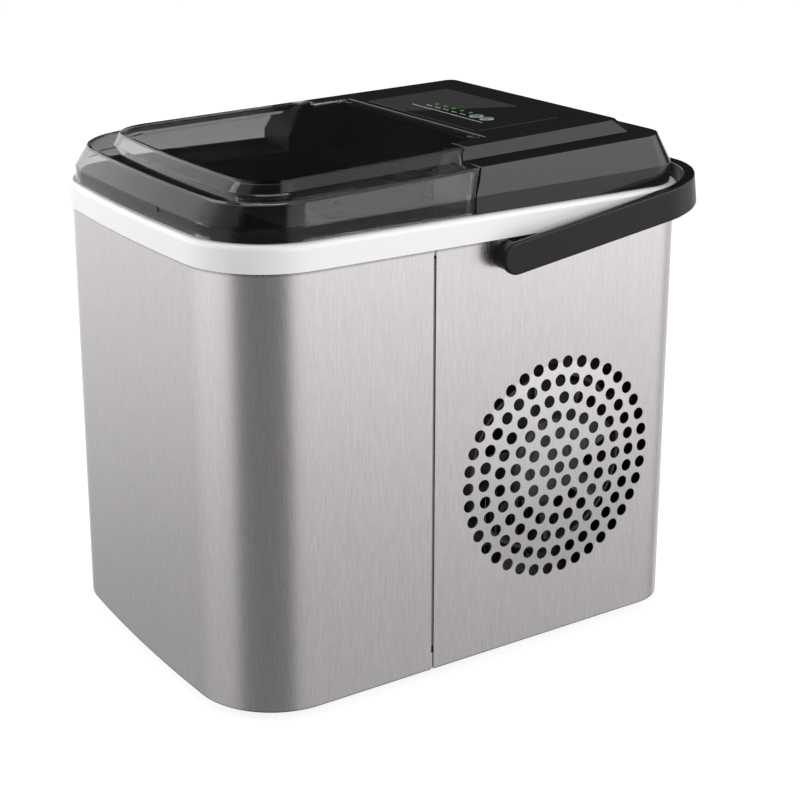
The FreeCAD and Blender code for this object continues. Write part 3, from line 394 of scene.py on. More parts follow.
print("cover faces:", len(cover.data.polygons))

# %% [markdown]
# ## Walls under the cover
# The ice space is closed off from the machinery. A lip follows the parting line below the lid's rear edge,
# and thin walls hang round the notch that takes the hinge. The stepped form, taken as a solid and moved in a
# little, trims both, so they follow the moulded top on every side.

# %% Lip and walls
LIP_REACH, LIP_HALF, LIP_WEB, WALL = 4.0, 79.0, 2.2, 2.5


def solid_top(wall, base):
    """The stepped form as a closed solid, moved in by the wall."""
    form = stack_piece("tool", [np.stack(top_levels(wall, base))])
    face_out(form)
    return form


def upright(flat):
    """A tool: an outline in plan, carried up through the whole top."""
    flat = np.array(flat, float)
    rings = np.stack([np.column_stack([flat, np.full(len(flat), z)]) for z in (260.0, 330.0)])
    tool = piece_from("tool", rings.reshape(-1, 3), skin(rings))
    face_out(tool)
    return tool


def beside_seam(shift, side):
    """A tool: everything on one side of the parting line, right across the machine."""
    return side_prism(seam_block(shift, side), -FAR, FAR)


core = carve(solid_top(TOP_WALL + 3.0, COLLAR_TOP - 1.0), [beside_seam(LIP_WEB - LIP_REACH, -1)])
lip = solid_top(TOP_WALL + 0.5, COLLAR_TOP + 0.4)
lip.name = "cover_lip"
carve(lip, [beside_seam(-LIP_REACH, -1), beside_seam(3.0, 1), core,
            upright([(-LIP_HALF, -60), (LIP_HALF, -60), (LIP_HALF, 1.5), (-LIP_HALF, 1.5)]),
            upright([(-notch, 0), (notch, 0), (notch, 60), (-notch, 60)])])
settle(lip, "housing")
shade(lip)

inner_edge = [(LIP_HALF, -20), (LIP_HALF, 1.5), (notch, 1.5), (notch, notch_end)]
outer_edge = [(notch + WALL, notch_end + WALL), (notch + WALL, 4.0), (LIP_HALF + WALL, 4.0),
              (LIP_HALF + WALL, -20)]
other_side = [(-x, y) for x, y in outer_edge + inner_edge]
walls = upright(inner_edge + other_side[4:][::-1] + other_side[:4][::-1] + outer_edge)
walls.name = "cover_walls"
carve(walls, [solid_top(TOP_WALL + 0.1, COLLAR_TOP + 0.4)], "INTERSECT")
carve(walls, [beside_seam(-LIP_REACH, -1)])
settle(walls, "housing")
shade(walls)
print("lip and wall faces:", len(lip.data.polygons), len(walls.data.polygons))

# %% [markdown]
# ## The fan
# Behind the round intake a plastic fan turns. Its blades are the kind of shape that a flat plate cannot
# show: each is twisted, steep at the hub and flatter at the tip. One formula gives the middle surface, and a
# thin lens-shaped section round it closes the blade.

# %% Fan rotor
def blade(turn):
    """One twisted blade: span from hub to tip, chord turned by a pitch that falls along the span."""
    span = np.linspace(HUB_R - 2.0, FAN_R - 0.4, 12)
    pitch = np.radians(np.linspace(58.0, 38.0, 12))
    chord = np.linspace(-1, 1, 13)
    upper = np.stack([chord, 0.06 * (1 - chord ** 2) + 0.012], -1)
    lower = np.stack([chord[::-1], 0.06 * (1 - chord[::-1] ** 2) - 0.05 * (1 - 0.6 * chord[::-1] ** 2)], -1)
    section = np.concatenate([upper, lower[1:-1]])
    half_chord = 10.0 + 5.0 * (span - span[0]) / (span[-1] - span[0])
    along = section[None, :, 0] * half_chord[:, None]
    thick = section[None, :, 1] * half_chord[:, None]
    x = 101.0 - along * np.cos(pitch)[:, None] + thick * np.sin(pitch)[:, None]
    across = along * np.sin(pitch)[:, None] + thick * np.cos(pitch)[:, None]
    angle = turn + across / span[:, None]
    radius = span[:, None]
    return np.stack([np.clip(x, 92.6, 109.4), FAN_Y + radius * np.cos(angle),
                     FAN_Z + radius * np.sin(angle)], -1)


def spun(profile, centre, count=64):
    """A profile of (x, radius) pairs turned about an axis along X."""
    turn = np.linspace(0, 2 * math.pi, count, endpoint=False)
    x, r = np.array(profile, float).T
    return np.stack([np.repeat(x[:, None], count, 1), centre[0] + r[:, None] * np.cos(turn),
                     centre[1] + r[:, None] * np.sin(turn)], -1)


hub = spun([(92.0, 2.2), (92.0, HUB_R - 0.6), (92.6, HUB_R), (107.0, HUB_R), (109.0, HUB_R - 0.8),
            (110.1, HUB_R - 2.4), (110.5, HUB_R - 4.6), (110.5, 16.0), (110.0, 15.6), (110.0, 14.4),
            (110.5, 14.0), (110.5, 0.01)], (FAN_Y, FAN_Z))
shaft = spun([(84.5, 0.01), (84.5, 2.0), (94.0, 2.0), (94.0, 0.01)], (FAN_Y, FAN_Z), 24)
blades = [blade(2 * math.pi * k / FAN_BLADES + 0.35) for k in range(FAN_BLADES)]
rotor = stack_piece("fan_blades_and_hub", [hub, shaft] + blades, body="fan", slot="fan", replaces=["fan_rotor"])
face_out(rotor)
shade(rotor, 40)
print("fan faces:", len(rotor.data.polygons))

# %% [markdown]
# ## Tabs at the foot of the side seams
# The front shell ends each seam groove with a small folded tab. It is a strip with one rounded fold, so it
# is made as an outline in plan carried up along the seam.

# %% Seam tabs
SEAM_Y = -36.6
fold = np.linspace(0, math.pi / 2, 6)
tab_face = HALF_WIDTH - 0.25
outer_fold = np.stack([tab_face - 0.5 + 0.5 * np.cos(fold), SEAM_Y + 0.1 + 0.5 * np.sin(fold)], -1)
inner_fold = np.stack([tab_face - 0.5 + 0.1 * np.cos(fold[::-1]), SEAM_Y + 0.1 + 0.1 * np.sin(fold[::-1])], -1)
tab_plan = np.concatenate([[(tab_face, SEAM_Y - 0.85)], outer_fold, [(tab_face - 0.62, SEAM_Y + 0.6)],
                           [(tab_face - 0.62, SEAM_Y + 0.2)], inner_fold, [(tab_face - 0.4, SEAM_Y - 0.85)]])
for side, name in ((1, "seam_tab_right"), (-1, "seam_tab_left")):
    rings = np.stack([np.column_stack([tab_plan * [side, 1], np.full(len(tab_plan), z)])
                      for z in (6.4, 7.0, 15.6, 16.2)])
    rings[0, :, 0] -= side * 0.1
    rings[-1, :, 0] -= side * 0.1
    tab = stack_piece(name, [rings], body="housing", slot="steel")
    face_out(tab)
    shade(tab)

# %% [markdown]
# ## Marks on the panel
# The real panel has small printed labels beside its lamps. Words would name a product, so plain bars stand
# in for them, with one thin line below. Each mark is a pill, raised by a few hundredths of a millimetre.

# %% Panel marks
def pill(x, y, length, width, low=0.14, high=0.22):
    """A flat bar with round ends, lying on the panel."""
    turn = np.linspace(-math.pi / 2, math.pi / 2, 9)
    reach, r = max(length / 2 - width / 2, 0.0), width / 2
    right = np.stack([x + reach + r * np.cos(turn), y + r * np.sin(turn)], -1)
    left = np.stack([x - reach - r * np.cos(turn), y - r * np.sin(turn)], -1)
    flat = np.concatenate([right, left])
    return on_platform(np.stack([np.column_stack([flat, np.full(len(flat), z)]) for z in (low, high)]))


marks = []
for x, length in zip(LED_X, (6.2, 5.6, 5.0, 5.2, 5.4)):
    marks.append(pill(x - length * 0.30, 53.9, length * 0.36, 0.5))
    marks.append(pill(x + length * 0.02, 53.9, length * 0.16, 0.5))
    marks.append(pill(x + length * 0.34, 53.9, length * 0.30, 0.5))
marks.append(pill(5.5, 48.3, 74.5, 0.34))
stack_piece("panel_marks", marks, body="housing", slot="white")


def button_glyph(x, name, body, whole):
    """A ring, open at the top for the power button, with a short bar."""
    gap = 0.0 if whole else 0.6
    turn = np.linspace(math.pi / 2 + gap, 5 * math.pi / 2 - gap, 33)
    flat = []
    for r in (1.75, 2.15):
        flat.append(np.stack([x + r * np.cos(turn), BUTTON_Y + r * np.sin(turn)], -1))
    outline = np.concatenate([flat[0], flat[1][::-1]])
    low, high = 0.33, 0.39
    bar = pill(x, BUTTON_Y + (0.0 if whole else 1.7), 0.5 if not whole else 1.1, 0.5 if whole else 1.5, low, high)
    ring = np.stack([np.column_stack([outline, np.full(len(outline), z)]) for z in (low, high)])
    rows = on_platform(ring)
    piece = stack_piece(name, [rows, bar], body=body, slot="satin_black")
    face_out(piece)


button_glyph(BUTTON_X[0], "power_glyph", "power_button", False)
button_glyph(BUTTON_X[1], "select_glyph", "select_button", True)

# %% [markdown]
# ## The shared finish group
# Most surfaces here differ in grain, tone and gloss at a fine scale. One node group does that for all of
# them: it takes a vector that the material has already stretched, so the same noise gives short vertical
# streaks on steel and an even grain on plastic.

# %% Node group helpers
def add(tree, kind, **settings):
    """Adds a node; a setting is a property, or the value of the input with that name."""
    made = tree.nodes.new(kind)
    for key, value in settings.items():
        words = key.replace("_", " ")
        if hasattr(made, key):
            setattr(made, key, value)
        else:
            made.inputs[words].default_value = value
    return made


def new_group(name, inputs, outputs):
    """An empty group with named sockets: (name, kind, default) for inputs and (name, kind) for outputs."""
    tree = bpy.data.node_groups.new(name, "ShaderNodeTree")
    for label, kind, value in inputs:
        socket = tree.interface.new_socket(label, in_out="INPUT", socket_type=kind)
        if value is not None:
            socket.default_value = value
    for label, kind in outputs:
        tree.interface.new_socket(label, in_out="OUTPUT", socket_type=kind)
    return tree, add(tree, "NodeGroupInput"), add(tree, "NodeGroupOutput")


NUMBER, COLOUR, VECTOR = "NodeSocketFloat", "NodeSocketColor", "NodeSocketVector"

# %% Grain group
grain, grain_in, grain_out = new_group(
    "grain", [("Vector", VECTOR, None), ("Colour", COLOUR, None), ("Tone Spread", NUMBER, 0.05),
              ("Base Roughness", NUMBER, 0.3), ("Roughness Spread", NUMBER, 0.05)],
    [("Colour", COLOUR), ("Roughness", NUMBER), ("Height", NUMBER)])
speckle = add(grain, "ShaderNodeTexNoise", Scale=1.0, Detail=3.0, Roughness=0.6)
centred = add(grain, "ShaderNodeMath", operation="SUBTRACT")
centred.inputs[1].default_value = 0.5
tone = add(grain, "ShaderNodeMath", operation="MULTIPLY_ADD")
tone.inputs[2].default_value = 1.0
tinted = add(grain, "ShaderNodeVectorMath", operation="SCALE")
rough = add(grain, "ShaderNodeMath", operation="MULTIPLY_ADD")
for start, end in [
        (grain_in.outputs["Vector"], speckle.inputs["Vector"]), (speckle.outputs["Fac"], centred.inputs[0]),
        (centred.outputs[0], tone.inputs[0]), (grain_in.outputs["Tone Spread"], tone.inputs[1]),
        (grain_in.outputs["Colour"], tinted.inputs[0]), (tone.outputs[0], tinted.inputs["Scale"]),
        (centred.outputs[0], rough.inputs[0]), (grain_in.outputs["Roughness Spread"], rough.inputs[1]),
        (grain_in.outputs["Base Roughness"], rough.inputs[2]), (tinted.outputs[0], grain_out.inputs["Colour"]),
        (rough.outputs[0], grain_out.inputs["Roughness"]), (speckle.outputs["Fac"], grain_out.inputs["Height"])]:
    grain.links.new(start, end)

# %% [markdown]
# ## One recipe for a finish
# Every material is the grain group in front of a Principled shader, with its own colour, stretch and gloss.
# Values that are the same all over the piece, such as metallic or coat, are set on the shader itself.

# %% Finish recipe
def finish(name, colour, roughness=0.4, stretch=(900, 900, 900), tone=0.08, gloss_spread=0.06, bump=0.15,
           bump_mm=0.02, **shader):
    """A material: Object coordinates, stretched, through the grain group into a Principled shader."""
    material = bpy.data.materials.new(name)
    material.use_nodes = True
    tree = material.node_tree
    surface = tree.nodes["Principled BSDF"]
    place = add(tree, "ShaderNodeTexCoord")
    stretched = add(tree, "ShaderNodeMapping")
    stretched.inputs["Scale"].default_value = stretch
    detail = add(tree, "ShaderNodeGroup", node_tree=grain)
    detail.inputs["Colour"].default_value = (*colour, 1.0)
    detail.inputs["Tone Spread"].default_value = tone
    detail.inputs["Base Roughness"].default_value = roughness
    detail.inputs["Roughness Spread"].default_value = gloss_spread
    tree.links.new(place.outputs["Object"], stretched.inputs["Vector"])
    tree.links.new(stretched.outputs[0], detail.inputs["Vector"])
    tree.links.new(detail.outputs["Colour"], surface.inputs["Base Color"])
    tree.links.new(detail.outputs["Roughness"], surface.inputs["Roughness"])
    if bump:
        relief = add(tree, "ShaderNodeBump", Strength=bump, Distance=bump_mm * MM)
        tree.links.new(detail.outputs["Height"], relief.inputs["Height"])
        tree.links.new(relief.outputs[0], surface.inputs["Normal"])
    for key, value in shader.items():
        surface.inputs[key.replace("_", " ")].default_value = value
    return material


# %% [markdown]
# ## The finishes
# The steel is brushed up and down, so its noise is long in Z and very fine across. The grooves also spread
# every highlight sideways, which the shader's anisotropy does. The lid is clear plastic with a little dye:
# a refracting surface with a grey tint. The black mouldings are polished, the handle and base are satin.

# %% Make the finishes
STREAKS = (2300, 2300, 95)
steel = finish("brushed_steel", (0.681, 0.650, 0.659), 0.27, STREAKS, tone=0.46, gloss_spread=0.10, bump=0.5,
               bump_mm=0.03, Metallic=1.0, Anisotropic=0.5)
groove_steel = finish("groove_steel", (0.20, 0.195, 0.197), 0.45, STREAKS, tone=0.4, Metallic=0.6)
white_gloss = finish("white_moulding", (0.88, 0.88, 0.88), 0.25, (500, 500, 500), tone=0.01, gloss_spread=0.03,
                     bump=0.03)
black_gloss = finish("black_moulding", (0.012, 0.012, 0.012), 0.06, (400, 400, 400), tone=0.10, gloss_spread=0.02,
                     bump=0.02, IOR=1.43)
satin_black = finish("satin_black", (0.014, 0.014, 0.0145), 0.38, (1400, 1400, 1400), tone=0.15, bump=0.12)
handle_black = finish("handle_black", (0.008, 0.008, 0.0082), 0.30, (1400, 1400, 1400), tone=0.12, bump=0.08,
                      Specular_IOR_Level=0.25)
deck_black = finish("deck_black", (0.022, 0.022, 0.022), 0.20, (900, 900, 900), tone=0.05, gloss_spread=0.01,
                    bump=0.0, Specular_IOR_Level=0.38)
lip_grey = finish("lip_grey", (0.055, 0.055, 0.056), 0.35, (900, 900, 900), tone=0.08, gloss_spread=0.02, bump=0.0)
# A near-black finish for the lid's cut faces at the seam. It is painted shade that draws the seam as a dark line,
# though the lid is clear plastic all through.
lid_cut_painted_shade = finish("lid_cut_painted_shade", (0.030, 0.030, 0.031), 0.35, (900, 900, 900), tone=0.10, gloss_spread=0.02, bump=0.0)
dark_grey = finish("dark_grey_plastic", (0.080, 0.080, 0.082), 0.45, (1100, 1100, 1100), tone=0.15)
rubber = finish("black_rubber", (0.022, 0.022, 0.022), 0.75, (900, 900, 900), tone=0.25, bump=0.35)
smoke = finish("smoked_plastic", (0.60, 0.60, 0.605), 0.012, (60, 60, 60), tone=0.02, gloss_spread=0.004, bump=0.0,
               Transmission_Weight=1.0, IOR=1.30)
frosted = finish("clear_basket_plastic", (0.86, 0.90, 0.93), 0.12, (500, 500, 500), tone=0.03, bump=0.03,
                 Transmission_Weight=0.75, IOR=1.45)
green_lens = finish("green_lens", (0.05, 0.32, 0.04), 0.2, (700, 700, 700), tone=0.1, bump=0.0,
                    Emission_Color=(0.10, 0.60, 0.08, 1.0), Emission_Strength=0.14)
button_silver = finish("button_silver", (0.40, 0.46, 0.49), 0.3, (900, 900, 900), tone=0.08, Metallic=0.4)
fan_blue_grey = finish("fan_plastic", (0.060, 0.070, 0.080), 0.4, (800, 800, 800), tone=0.12)
charcoal = finish("tub_plastic", (0.020, 0.020, 0.021), 0.5, (700, 700, 700), tone=0.15)
pale_plastic = finish("pale_plastic", (0.55, 0.57, 0.58), 0.45, (700, 700, 700), tone=0.05)
foam = finish("foam", (0.78, 0.77, 0.73), 0.9, (450, 450, 450), tone=0.25, bump=0.7, bump_mm=0.4)
plated = finish("plated_screw", (0.50, 0.50, 0.50), 0.28, (900, 900, 200), tone=0.15, Metallic=1.0)
nickel = finish("nickel_plate", (0.30, 0.29, 0.28), 0.30, (500, 500, 500), tone=0.06, bump=0.06, Metallic=1.0)
copper = finish("copper_tube", (0.68, 0.34, 0.20), 0.3, (260, 260, 260), tone=0.25, Metallic=1.0)
fin_aluminium = finish("fin_aluminium", (0.74, 0.75, 0.76), 0.35, (300, 300, 1800), tone=0.12, Metallic=1.0)
enamel = finish("black_enamel", (0.010, 0.010, 0.011), 0.22, (260, 260, 260), tone=0.2, bump=0.25, bump_mm=0.05)
board_green = finish("board_green", (0.015, 0.12, 0.05), 0.35, (600, 600, 600), tone=0.2, Coat_Weight=0.4)

# %% [markdown]
# ## Shade at the casing's edges
# Where the sheet meets the collar and at its lower fold a real casing is a little darker, because light
# hardly reaches into the joint. The steel's colour is multiplied by a value that depends on height alone.

# %% Edge shade of the steel
STEEL_LOW, STEEL_HIGH = 0.006, 0.256


def shaded_edges(material, depth=0.45):
    """Multiplies the colour by depth at the casing's lower and upper edge, rising to 1 over 1.2 and 2.2 mm."""
    tree = material.node_tree
    surface = tree.nodes["Principled BSDF"]
    source = surface.inputs["Base Color"].links[0].from_socket
    place = add(tree, "ShaderNodeTexCoord")
    axes = add(tree, "ShaderNodeSeparateXYZ")
    tree.links.new(place.outputs["Object"], axes.inputs[0])
    colour = source
    for start, end in ((STEEL_LOW, STEEL_LOW + 0.0012), (STEEL_HIGH, STEEL_HIGH - 0.0022)):
        ramp = add(tree, "ShaderNodeMapRange", interpolation_type="SMOOTHSTEP")
        ramp.inputs["From Min"].default_value, ramp.inputs["From Max"].default_value = start, end
        ramp.inputs["To Min"].default_value = depth
        shaded = add(tree, "ShaderNodeVectorMath", operation="SCALE")
        tree.links.new(axes.outputs["Z"], ramp.inputs["Value"])
        tree.links.new(colour, shaded.inputs[0])
        tree.links.new(ramp.outputs["Result"], shaded.inputs["Scale"])
        colour = shaded.outputs[0]
    tree.links.new(colour, surface.inputs["Base Color"])


shaded_edges(steel)

# %% [markdown]
# ## The panel's print
# The panel is a thin printed film. Its left part is a shade lighter than the rest, and the two meet on a
# slanted line, so the colour is mixed by a straight line in the panel's own X and Y.

# %% Panel film
panel_film = finish("panel_film", (0.012, 0.012, 0.012), 0.10, (500, 500, 500), tone=0.06, bump=0.02)
tree = panel_film.node_tree
place = add(tree, "ShaderNodeTexCoord")
split = add(tree, "ShaderNodeVectorMath", operation="DOT_PRODUCT")
split.inputs[1].default_value = (-1.0, 0.585, 0.0)
edge = add(tree, "ShaderNodeMapRange", interpolation_type="SMOOTHSTEP")
edge.inputs["From Min"].default_value, edge.inputs["From Max"].default_value = 0.0358, 0.0366
two_tone = add(tree, "ShaderNodeMix", data_type="RGBA")
two_tone.inputs["A"].default_value = (0.012, 0.012, 0.012, 1)
two_tone.inputs["B"].default_value = (0.057, 0.057, 0.058, 1)
detail = next(n for n in tree.nodes if n.type == "GROUP")
tree.links.new(place.outputs["Object"], split.inputs[0])
tree.links.new(split.outputs["Value"], edge.inputs["Value"])
tree.links.new(edge.outputs["Result"], two_tone.inputs["Factor"])
tree.links.new(two_tone.outputs["Result"], detail.inputs["Colour"])

# %% Give every piece its finish
finish_of = {
    steel: ["front_shell", "rear_shell", "seam_tab_right", "seam_tab_left"],
    white_gloss: ["top_collar", "panel_marks"],
    black_gloss: ["control_cover_skin", "control_cover", "lid_grip_strip"],
    smoke: ["lid_smoked", "lid_shell"],
    groove_steel: ["seam_strips"],
    satin_black: ["base_pan", "cord_gland", "terminal_cover", "power_glyph", "select_glyph"],
    handle_black: ["carry_handle", "handle_bosses"],
    deck_black: ["inner_deck", "cover_walls", "hinge_barrel"],
    lip_grey: ["cover_lip"],
    dark_grey: ["fan_shroud", "tray_motor", "ice_sensors", "intake_filter", "water_pump", "fan_motor",
                "hot_gas_valve"],
    rubber: ["rubber_feet", "pump_hose", "compressor_grommets", "drain_cap"],
    frosted: ["ice_basket", "ice_scoop"],
    green_lens: ["indicator_lenses"],
    button_silver: ["power_button", "select_button"],
    fan_blue_grey: ["fan_blades_and_hub", "fan_rotor"],
    charcoal: ["inner_tub", "water_tray", "ice_pusher", "evaporator_bracket"],
    pale_plastic: ["drain_spout", "board_bracket"],
    foam: ["tub_insulation"],
    plated: ["rear_screws", "cover_screws", "lid_hinge_pins", "handle_pins", "compressor_bolts"],
    nickel: ["evaporator_tube", "evaporator_fingers"],
    copper: ["filter_drier", "suction_pipe", "discharge_pipe", "liquid_line"],
    fin_aluminium: ["condenser_fins"],
    enamel: ["compressor", "condenser_tube"],
    board_green: ["display_board", "main_board"],
    panel_film: ["control_panel"],
}
for material, names in finish_of.items():
    for name in names:
        if name in bpy.data.objects:
            slots = bpy.data.objects[name].data.materials
            slots.clear()
            slots.append(material)
# The lid's cut faces take the near-black finish: painted shade along the seam, while the rest of the lid stays
# clear.
lid.data.materials.append(lid_cut_painted_shade)
lid.data.polygons.foreach_set("material_index", lid_cut_painted_shade_faces.astype(np.int32))
bare = [o.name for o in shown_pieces() if not o.data.materials or o.data.materials[0].name not in
        {m.name for m in finish_of}]
print("pieces with no finish:", bare)

# %% [markdown]
# ## The studio
# A pale floor, three broad soft lamps and a bright world. The camera sees plain white behind the machine.
# Polished surfaces see two tall light walls, one on the left and one on the right, with dark gaps between
# them, which draws the long clear reflections that steel and black plastic need. The lid looks out on the
# same walls.

# %% Floor
floor_mesh = bpy.data.meshes.new("floor")
reach = 6.0
floor_mesh.from_pydata([(-reach, -reach, 0), (reach, -reach, 0), (reach, reach, 0), (-reach, reach, 0)], [],
                       [(0, 1, 2, 3)])
floor = bpy.data.objects.new("floor", floor_mesh)
bpy.context.scene.collection.objects.link(floor)
floor_paint = bpy.data.materials.new("floor_paint")
floor_paint.use_nodes = True
tree = floor_paint.node_tree
tree.nodes.clear()
matte = add(tree, "ShaderNodeBsdfDiffuse", Color=(0.8, 0.8, 0.8, 1))
dimmed = add(tree, "ShaderNodeBsdfDiffuse", Color=(0.30, 0.30, 0.30, 1))
glow = add(tree, "ShaderNodeEmission", Color=(1, 1, 1, 1), Strength=0.86)
clear = add(tree, "ShaderNodeBsdfTransparent")
both = add(tree, "ShaderNodeAddShader")
seen = add(tree, "ShaderNodeLightPath")
by_view = add(tree, "ShaderNodeMixShader")
by_mirror = add(tree, "ShaderNodeMixShader")
result = add(tree, "ShaderNodeOutputMaterial")
direct = add(tree, "ShaderNodeMath", operation="MAXIMUM")
mirrored = add(tree, "ShaderNodeMath", operation="MINIMUM")
mirrored.inputs[1].default_value = 1.0
for start, end in [
        (seen.outputs["Is Camera Ray"], direct.inputs[0]), (seen.outputs["Is Transmission Ray"], direct.inputs[1]),
        (seen.outputs["Glossy Depth"], mirrored.inputs[0]), (dimmed.outputs[0], both.inputs[0]),
        (glow.outputs[0], both.inputs[1]), (direct.outputs[0], by_view.inputs[0]),
        (matte.outputs[0], by_view.inputs[1]), (both.outputs[0], by_view.inputs[2]),
        (mirrored.outputs[0], by_mirror.inputs[0]),
        (by_view.outputs[0], by_mirror.inputs[1]), (clear.outputs[0], by_mirror.inputs[2]),
        (by_mirror.outputs[0], result.inputs["Surface"])]:
    tree.links.new(start, end)
floor_mesh.materials.append(floor_paint)

# %% [markdown]
# ## What polished surfaces see
# The world is drawn by compass bearing and height. Each light wall is a sector with soft sides, and all of
# them share one profile from floor to ceiling. Their bearings are twice the bearing of the surface that
# should catch them, less that of the camera, which is how a mirror turns light. Straight in front, the wall
# is halved at eye level, so that the steel front doesn't burn out when it is seen square on.
# Two steps are not physical, and only keep noise out of the thin lid: light that comes through glass is
# capped, and light that glass has also mirrored is cut by three quarters.

# %% World
world = bpy.data.worlds.new("studio")
bpy.context.scene.world = world
world.use_nodes = True
tree = world.node_tree
tree.nodes.clear()
place = add(tree, "ShaderNodeTexCoord")
axes = add(tree, "ShaderNodeSeparateXYZ")
bearing = add(tree, "ShaderNodeMath", operation="ARCTAN2")
tree.links.new(place.outputs["Generated"], axes.inputs[0])
tree.links.new(axes.outputs["Y"], bearing.inputs[0])
tree.links.new(axes.outputs["X"], bearing.inputs[1])


def light_wall(middle, half_width, soft, level):
    """Sector round a compass bearing in degrees: level inside, 0 outside, with a soft edge."""
    turned = add(tree, "ShaderNodeMath", operation="SUBTRACT")
    turned.inputs[1].default_value = math.radians(middle)
    facing = add(tree, "ShaderNodeMath", operation="COSINE")
    wall = add(tree, "ShaderNodeMapRange", interpolation_type="SMOOTHSTEP")
    wall.inputs["From Min"].default_value = math.cos(math.radians(half_width + soft))
    wall.inputs["From Max"].default_value = math.cos(math.radians(max(half_width - soft, 0.0)))
    wall.inputs["To Max"].default_value = level
    tree.links.new(bearing.outputs[0], turned.inputs[0])
    tree.links.new(turned.outputs[0], facing.inputs[0])
    tree.links.new(facing.outputs[0], wall.inputs["Value"])
    return wall.outputs["Result"]


def joined(operation, first, second):
    """Two values through one math node; a number becomes the socket's own value."""
    node = add(tree, "ShaderNodeMath", operation=operation)
    for socket, value in zip(node.inputs, (first, second)):
        if isinstance(value, float):
            socket.default_value = value
        else:
            tree.links.new(value, socket)
    return node.outputs[0]


left_wall = joined("ADD", light_wall(-136.5, 60.5, 4.5, 2.85), light_wall(-104.0, 24.0, 20.0, 0.75))
right_wall = joined("ADD", light_wall(38.0, 39.0, 4.5, 1.15), light_wall(45.0, 46.0, 6.0, 2.4))
height = add(tree, "ShaderNodeValToRGB")
stops = [(0.0, 0.10), (0.28, 0.14), (0.38, 0.32), (0.44, 0.40), (0.50, 0.44),
         (0.60, 0.85), (0.70, 0.85), (0.92, 0.5), (1.0, 0.1)]
ramp = height.color_ramp
while len(ramp.elements) < len(stops):
    ramp.elements.new(0.5)
for element, (position, value) in zip(ramp.elements, stops):
    element.position, element.color = position, (value, value, value, 1)
rise = add(tree, "ShaderNodeMapRange")
rise.inputs["From Min"].default_value = -1.0
tree.links.new(axes.outputs["Z"], rise.inputs["Value"])
tree.links.new(rise.outputs["Result"], height.inputs["Fac"])
bright = joined("MULTIPLY", joined("ADD", left_wall, right_wall), height.outputs["Color"])
eye_level = add(tree, "ShaderNodeMapRange", interpolation_type="SMOOTHSTEP")
eye_level.inputs["From Min"].default_value, eye_level.inputs["From Max"].default_value = -0.16, -0.02
tree.links.new(axes.outputs["Z"], eye_level.inputs["Value"])
front_shade = joined("MULTIPLY", light_wall(-90.0, 22.0, 14.0, 0.5), eye_level.outputs["Result"])
bright = joined("MULTIPLY", bright, joined("SUBTRACT", 1.0, front_shade))
below = add(tree, "ShaderNodeMapRange", interpolation_type="SMOOTHSTEP")
below.inputs["From Min"].default_value, below.inputs["From Max"].default_value = 0.02, -0.12
tree.links.new(axes.outputs["Z"], below.inputs["Value"])
rear_floor = joined("MULTIPLY", light_wall(133.0, 38.0, 8.0, 0.8), below.outputs["Result"])
corner_gap = joined("ADD", light_wall(-35.0, 38.0, 3.0, 0.19), rear_floor)
strength = joined("ADD", joined("ADD", bright, corner_gap), 0.02)
seen = add(tree, "ShaderNodeLightPath")
GLASS_CAP, INNER_MIRROR_CUT, AMBIENT = 1.6, 0.75, 0.42
above_cap = joined("MAXIMUM", joined("SUBTRACT", strength, GLASS_CAP), 0.0)
strength = joined("SUBTRACT", strength, joined("MULTIPLY", above_cap, seen.outputs["Is Transmission Ray"]))
inside = joined("MULTIPLY", joined("MINIMUM", seen.outputs["Glossy Depth"], 1.0),
                joined("MINIMUM", seen.outputs["Transmission Depth"], 1.0))
strength = joined("SUBTRACT", strength, joined("MULTIPLY", strength, joined("MULTIPLY", inside, INNER_MIRROR_CUT)))
mirrored = joined("MAXIMUM", seen.outputs["Is Glossy Ray"], seen.outputs["Is Transmission Ray"])
ambient = add(tree, "ShaderNodeBackground", Color=(1, 1, 1, 1), Strength=AMBIENT)
studio = add(tree, "ShaderNodeBackground", Color=(1, 1, 1, 1))
white = add(tree, "ShaderNodeBackground", Color=(1, 1, 1, 1), Strength=1.0)
by_gloss = add(tree, "ShaderNodeMixShader")
by_view = add(tree, "ShaderNodeMixShader")
result = add(tree, "ShaderNodeOutputWorld")
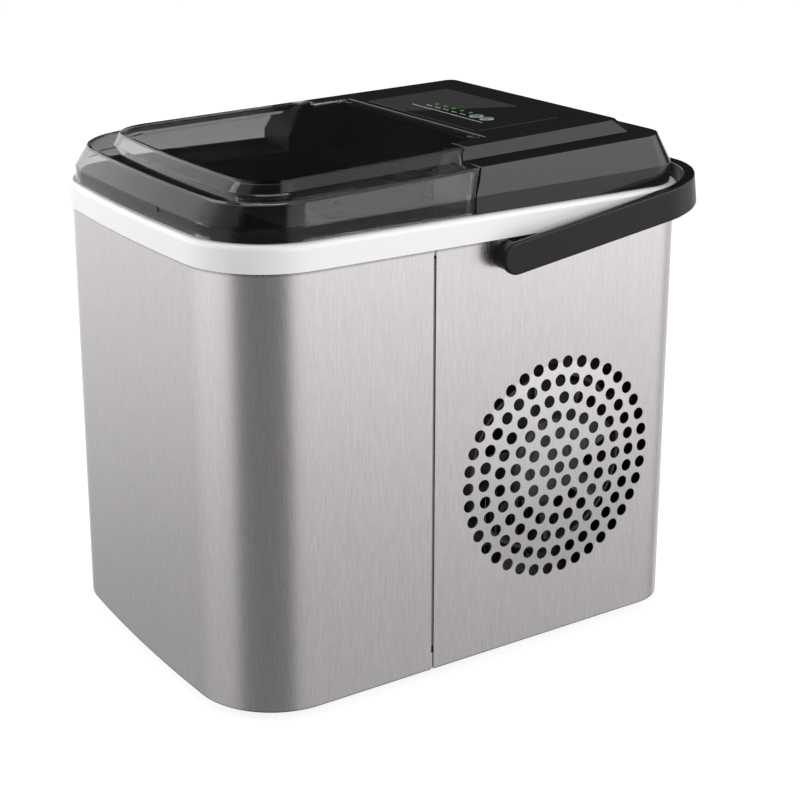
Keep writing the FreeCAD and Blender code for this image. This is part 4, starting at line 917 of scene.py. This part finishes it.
for start, end in [(strength, studio.inputs["Strength"]), (mirrored, by_gloss.inputs[0]),
                   (ambient.outputs[0], by_gloss.inputs[1]), (studio.outputs[0], by_gloss.inputs[2]),
                   (seen.outputs["Is Camera Ray"], by_view.inputs[0]), (by_gloss.outputs[0], by_view.inputs[1]),
                   (white.outputs[0], by_view.inputs[2]), (by_view.outputs[0], result.inputs["Surface"])]:
    tree.links.new(start, end)


# %% Lamps
def soft_lamp(name, place, aim, size, power):
    """A square area lamp that looks at a point."""
    lamp = bpy.data.lights.new(name, "AREA")
    lamp.shape, lamp.size, lamp.energy = "SQUARE", size, power
    holder = bpy.data.objects.new(name, lamp)
    bpy.context.scene.collection.objects.link(holder)
    way = np.subtract(aim, place)
    holder.location = place
    holder.rotation_euler = (math.acos(-way[2] / np.linalg.norm(way)), 0, math.atan2(way[0], -way[1]) + math.pi)
    holder.visible_glossy = False
    return holder


soft_lamp("left_lamp", (-1.3, -1.8, 0.8), (0, 0, 0.15), 1.2, 28)
soft_lamp("right_lamp", (1.78, 1.16, 0.9), (0, 0, 0.15), 1.2, 27)
soft_lamp("top_lamp", (0.0, 0.0, 2.4), (0, 0, 0.15), 1.4, 10)

# %% [markdown]
# ## The camera
# It stands in front of the right corner, a little above the top, and looks slightly down. A small downward
# shift keeps upright edges nearly parallel while the machine stays in the middle of the frame.

# %% Camera
azimuth, elevation, roll = math.radians(56.82), math.radians(16.09), math.radians(0.09)
back = np.array([math.sin(azimuth) * math.cos(elevation), -math.cos(azimuth) * math.cos(elevation),
                 math.sin(elevation)])
right = np.array([math.cos(azimuth), math.sin(azimuth), 0.0])
up = np.cross(back, right)
right, up = right * math.cos(roll) + up * math.sin(roll), up * math.cos(roll) - right * math.sin(roll)
lens = bpy.data.cameras.new("camera")
lens.lens, lens.sensor_width, lens.shift_y = 77.18, 36.0, -0.145
camera = bpy.data.objects.new("camera", lens)
bpy.context.scene.collection.objects.link(camera)
stand = np.eye(4)
stand[:3, 0], stand[:3, 1], stand[:3, 2], stand[:3, 3] = right, up, back, (0.8520, -0.5388, 0.4934)
camera.matrix_world = Matrix(stand.tolist())
bpy.context.scene.camera = camera
bpy.context.scene.view_settings.view_transform = "Standard"
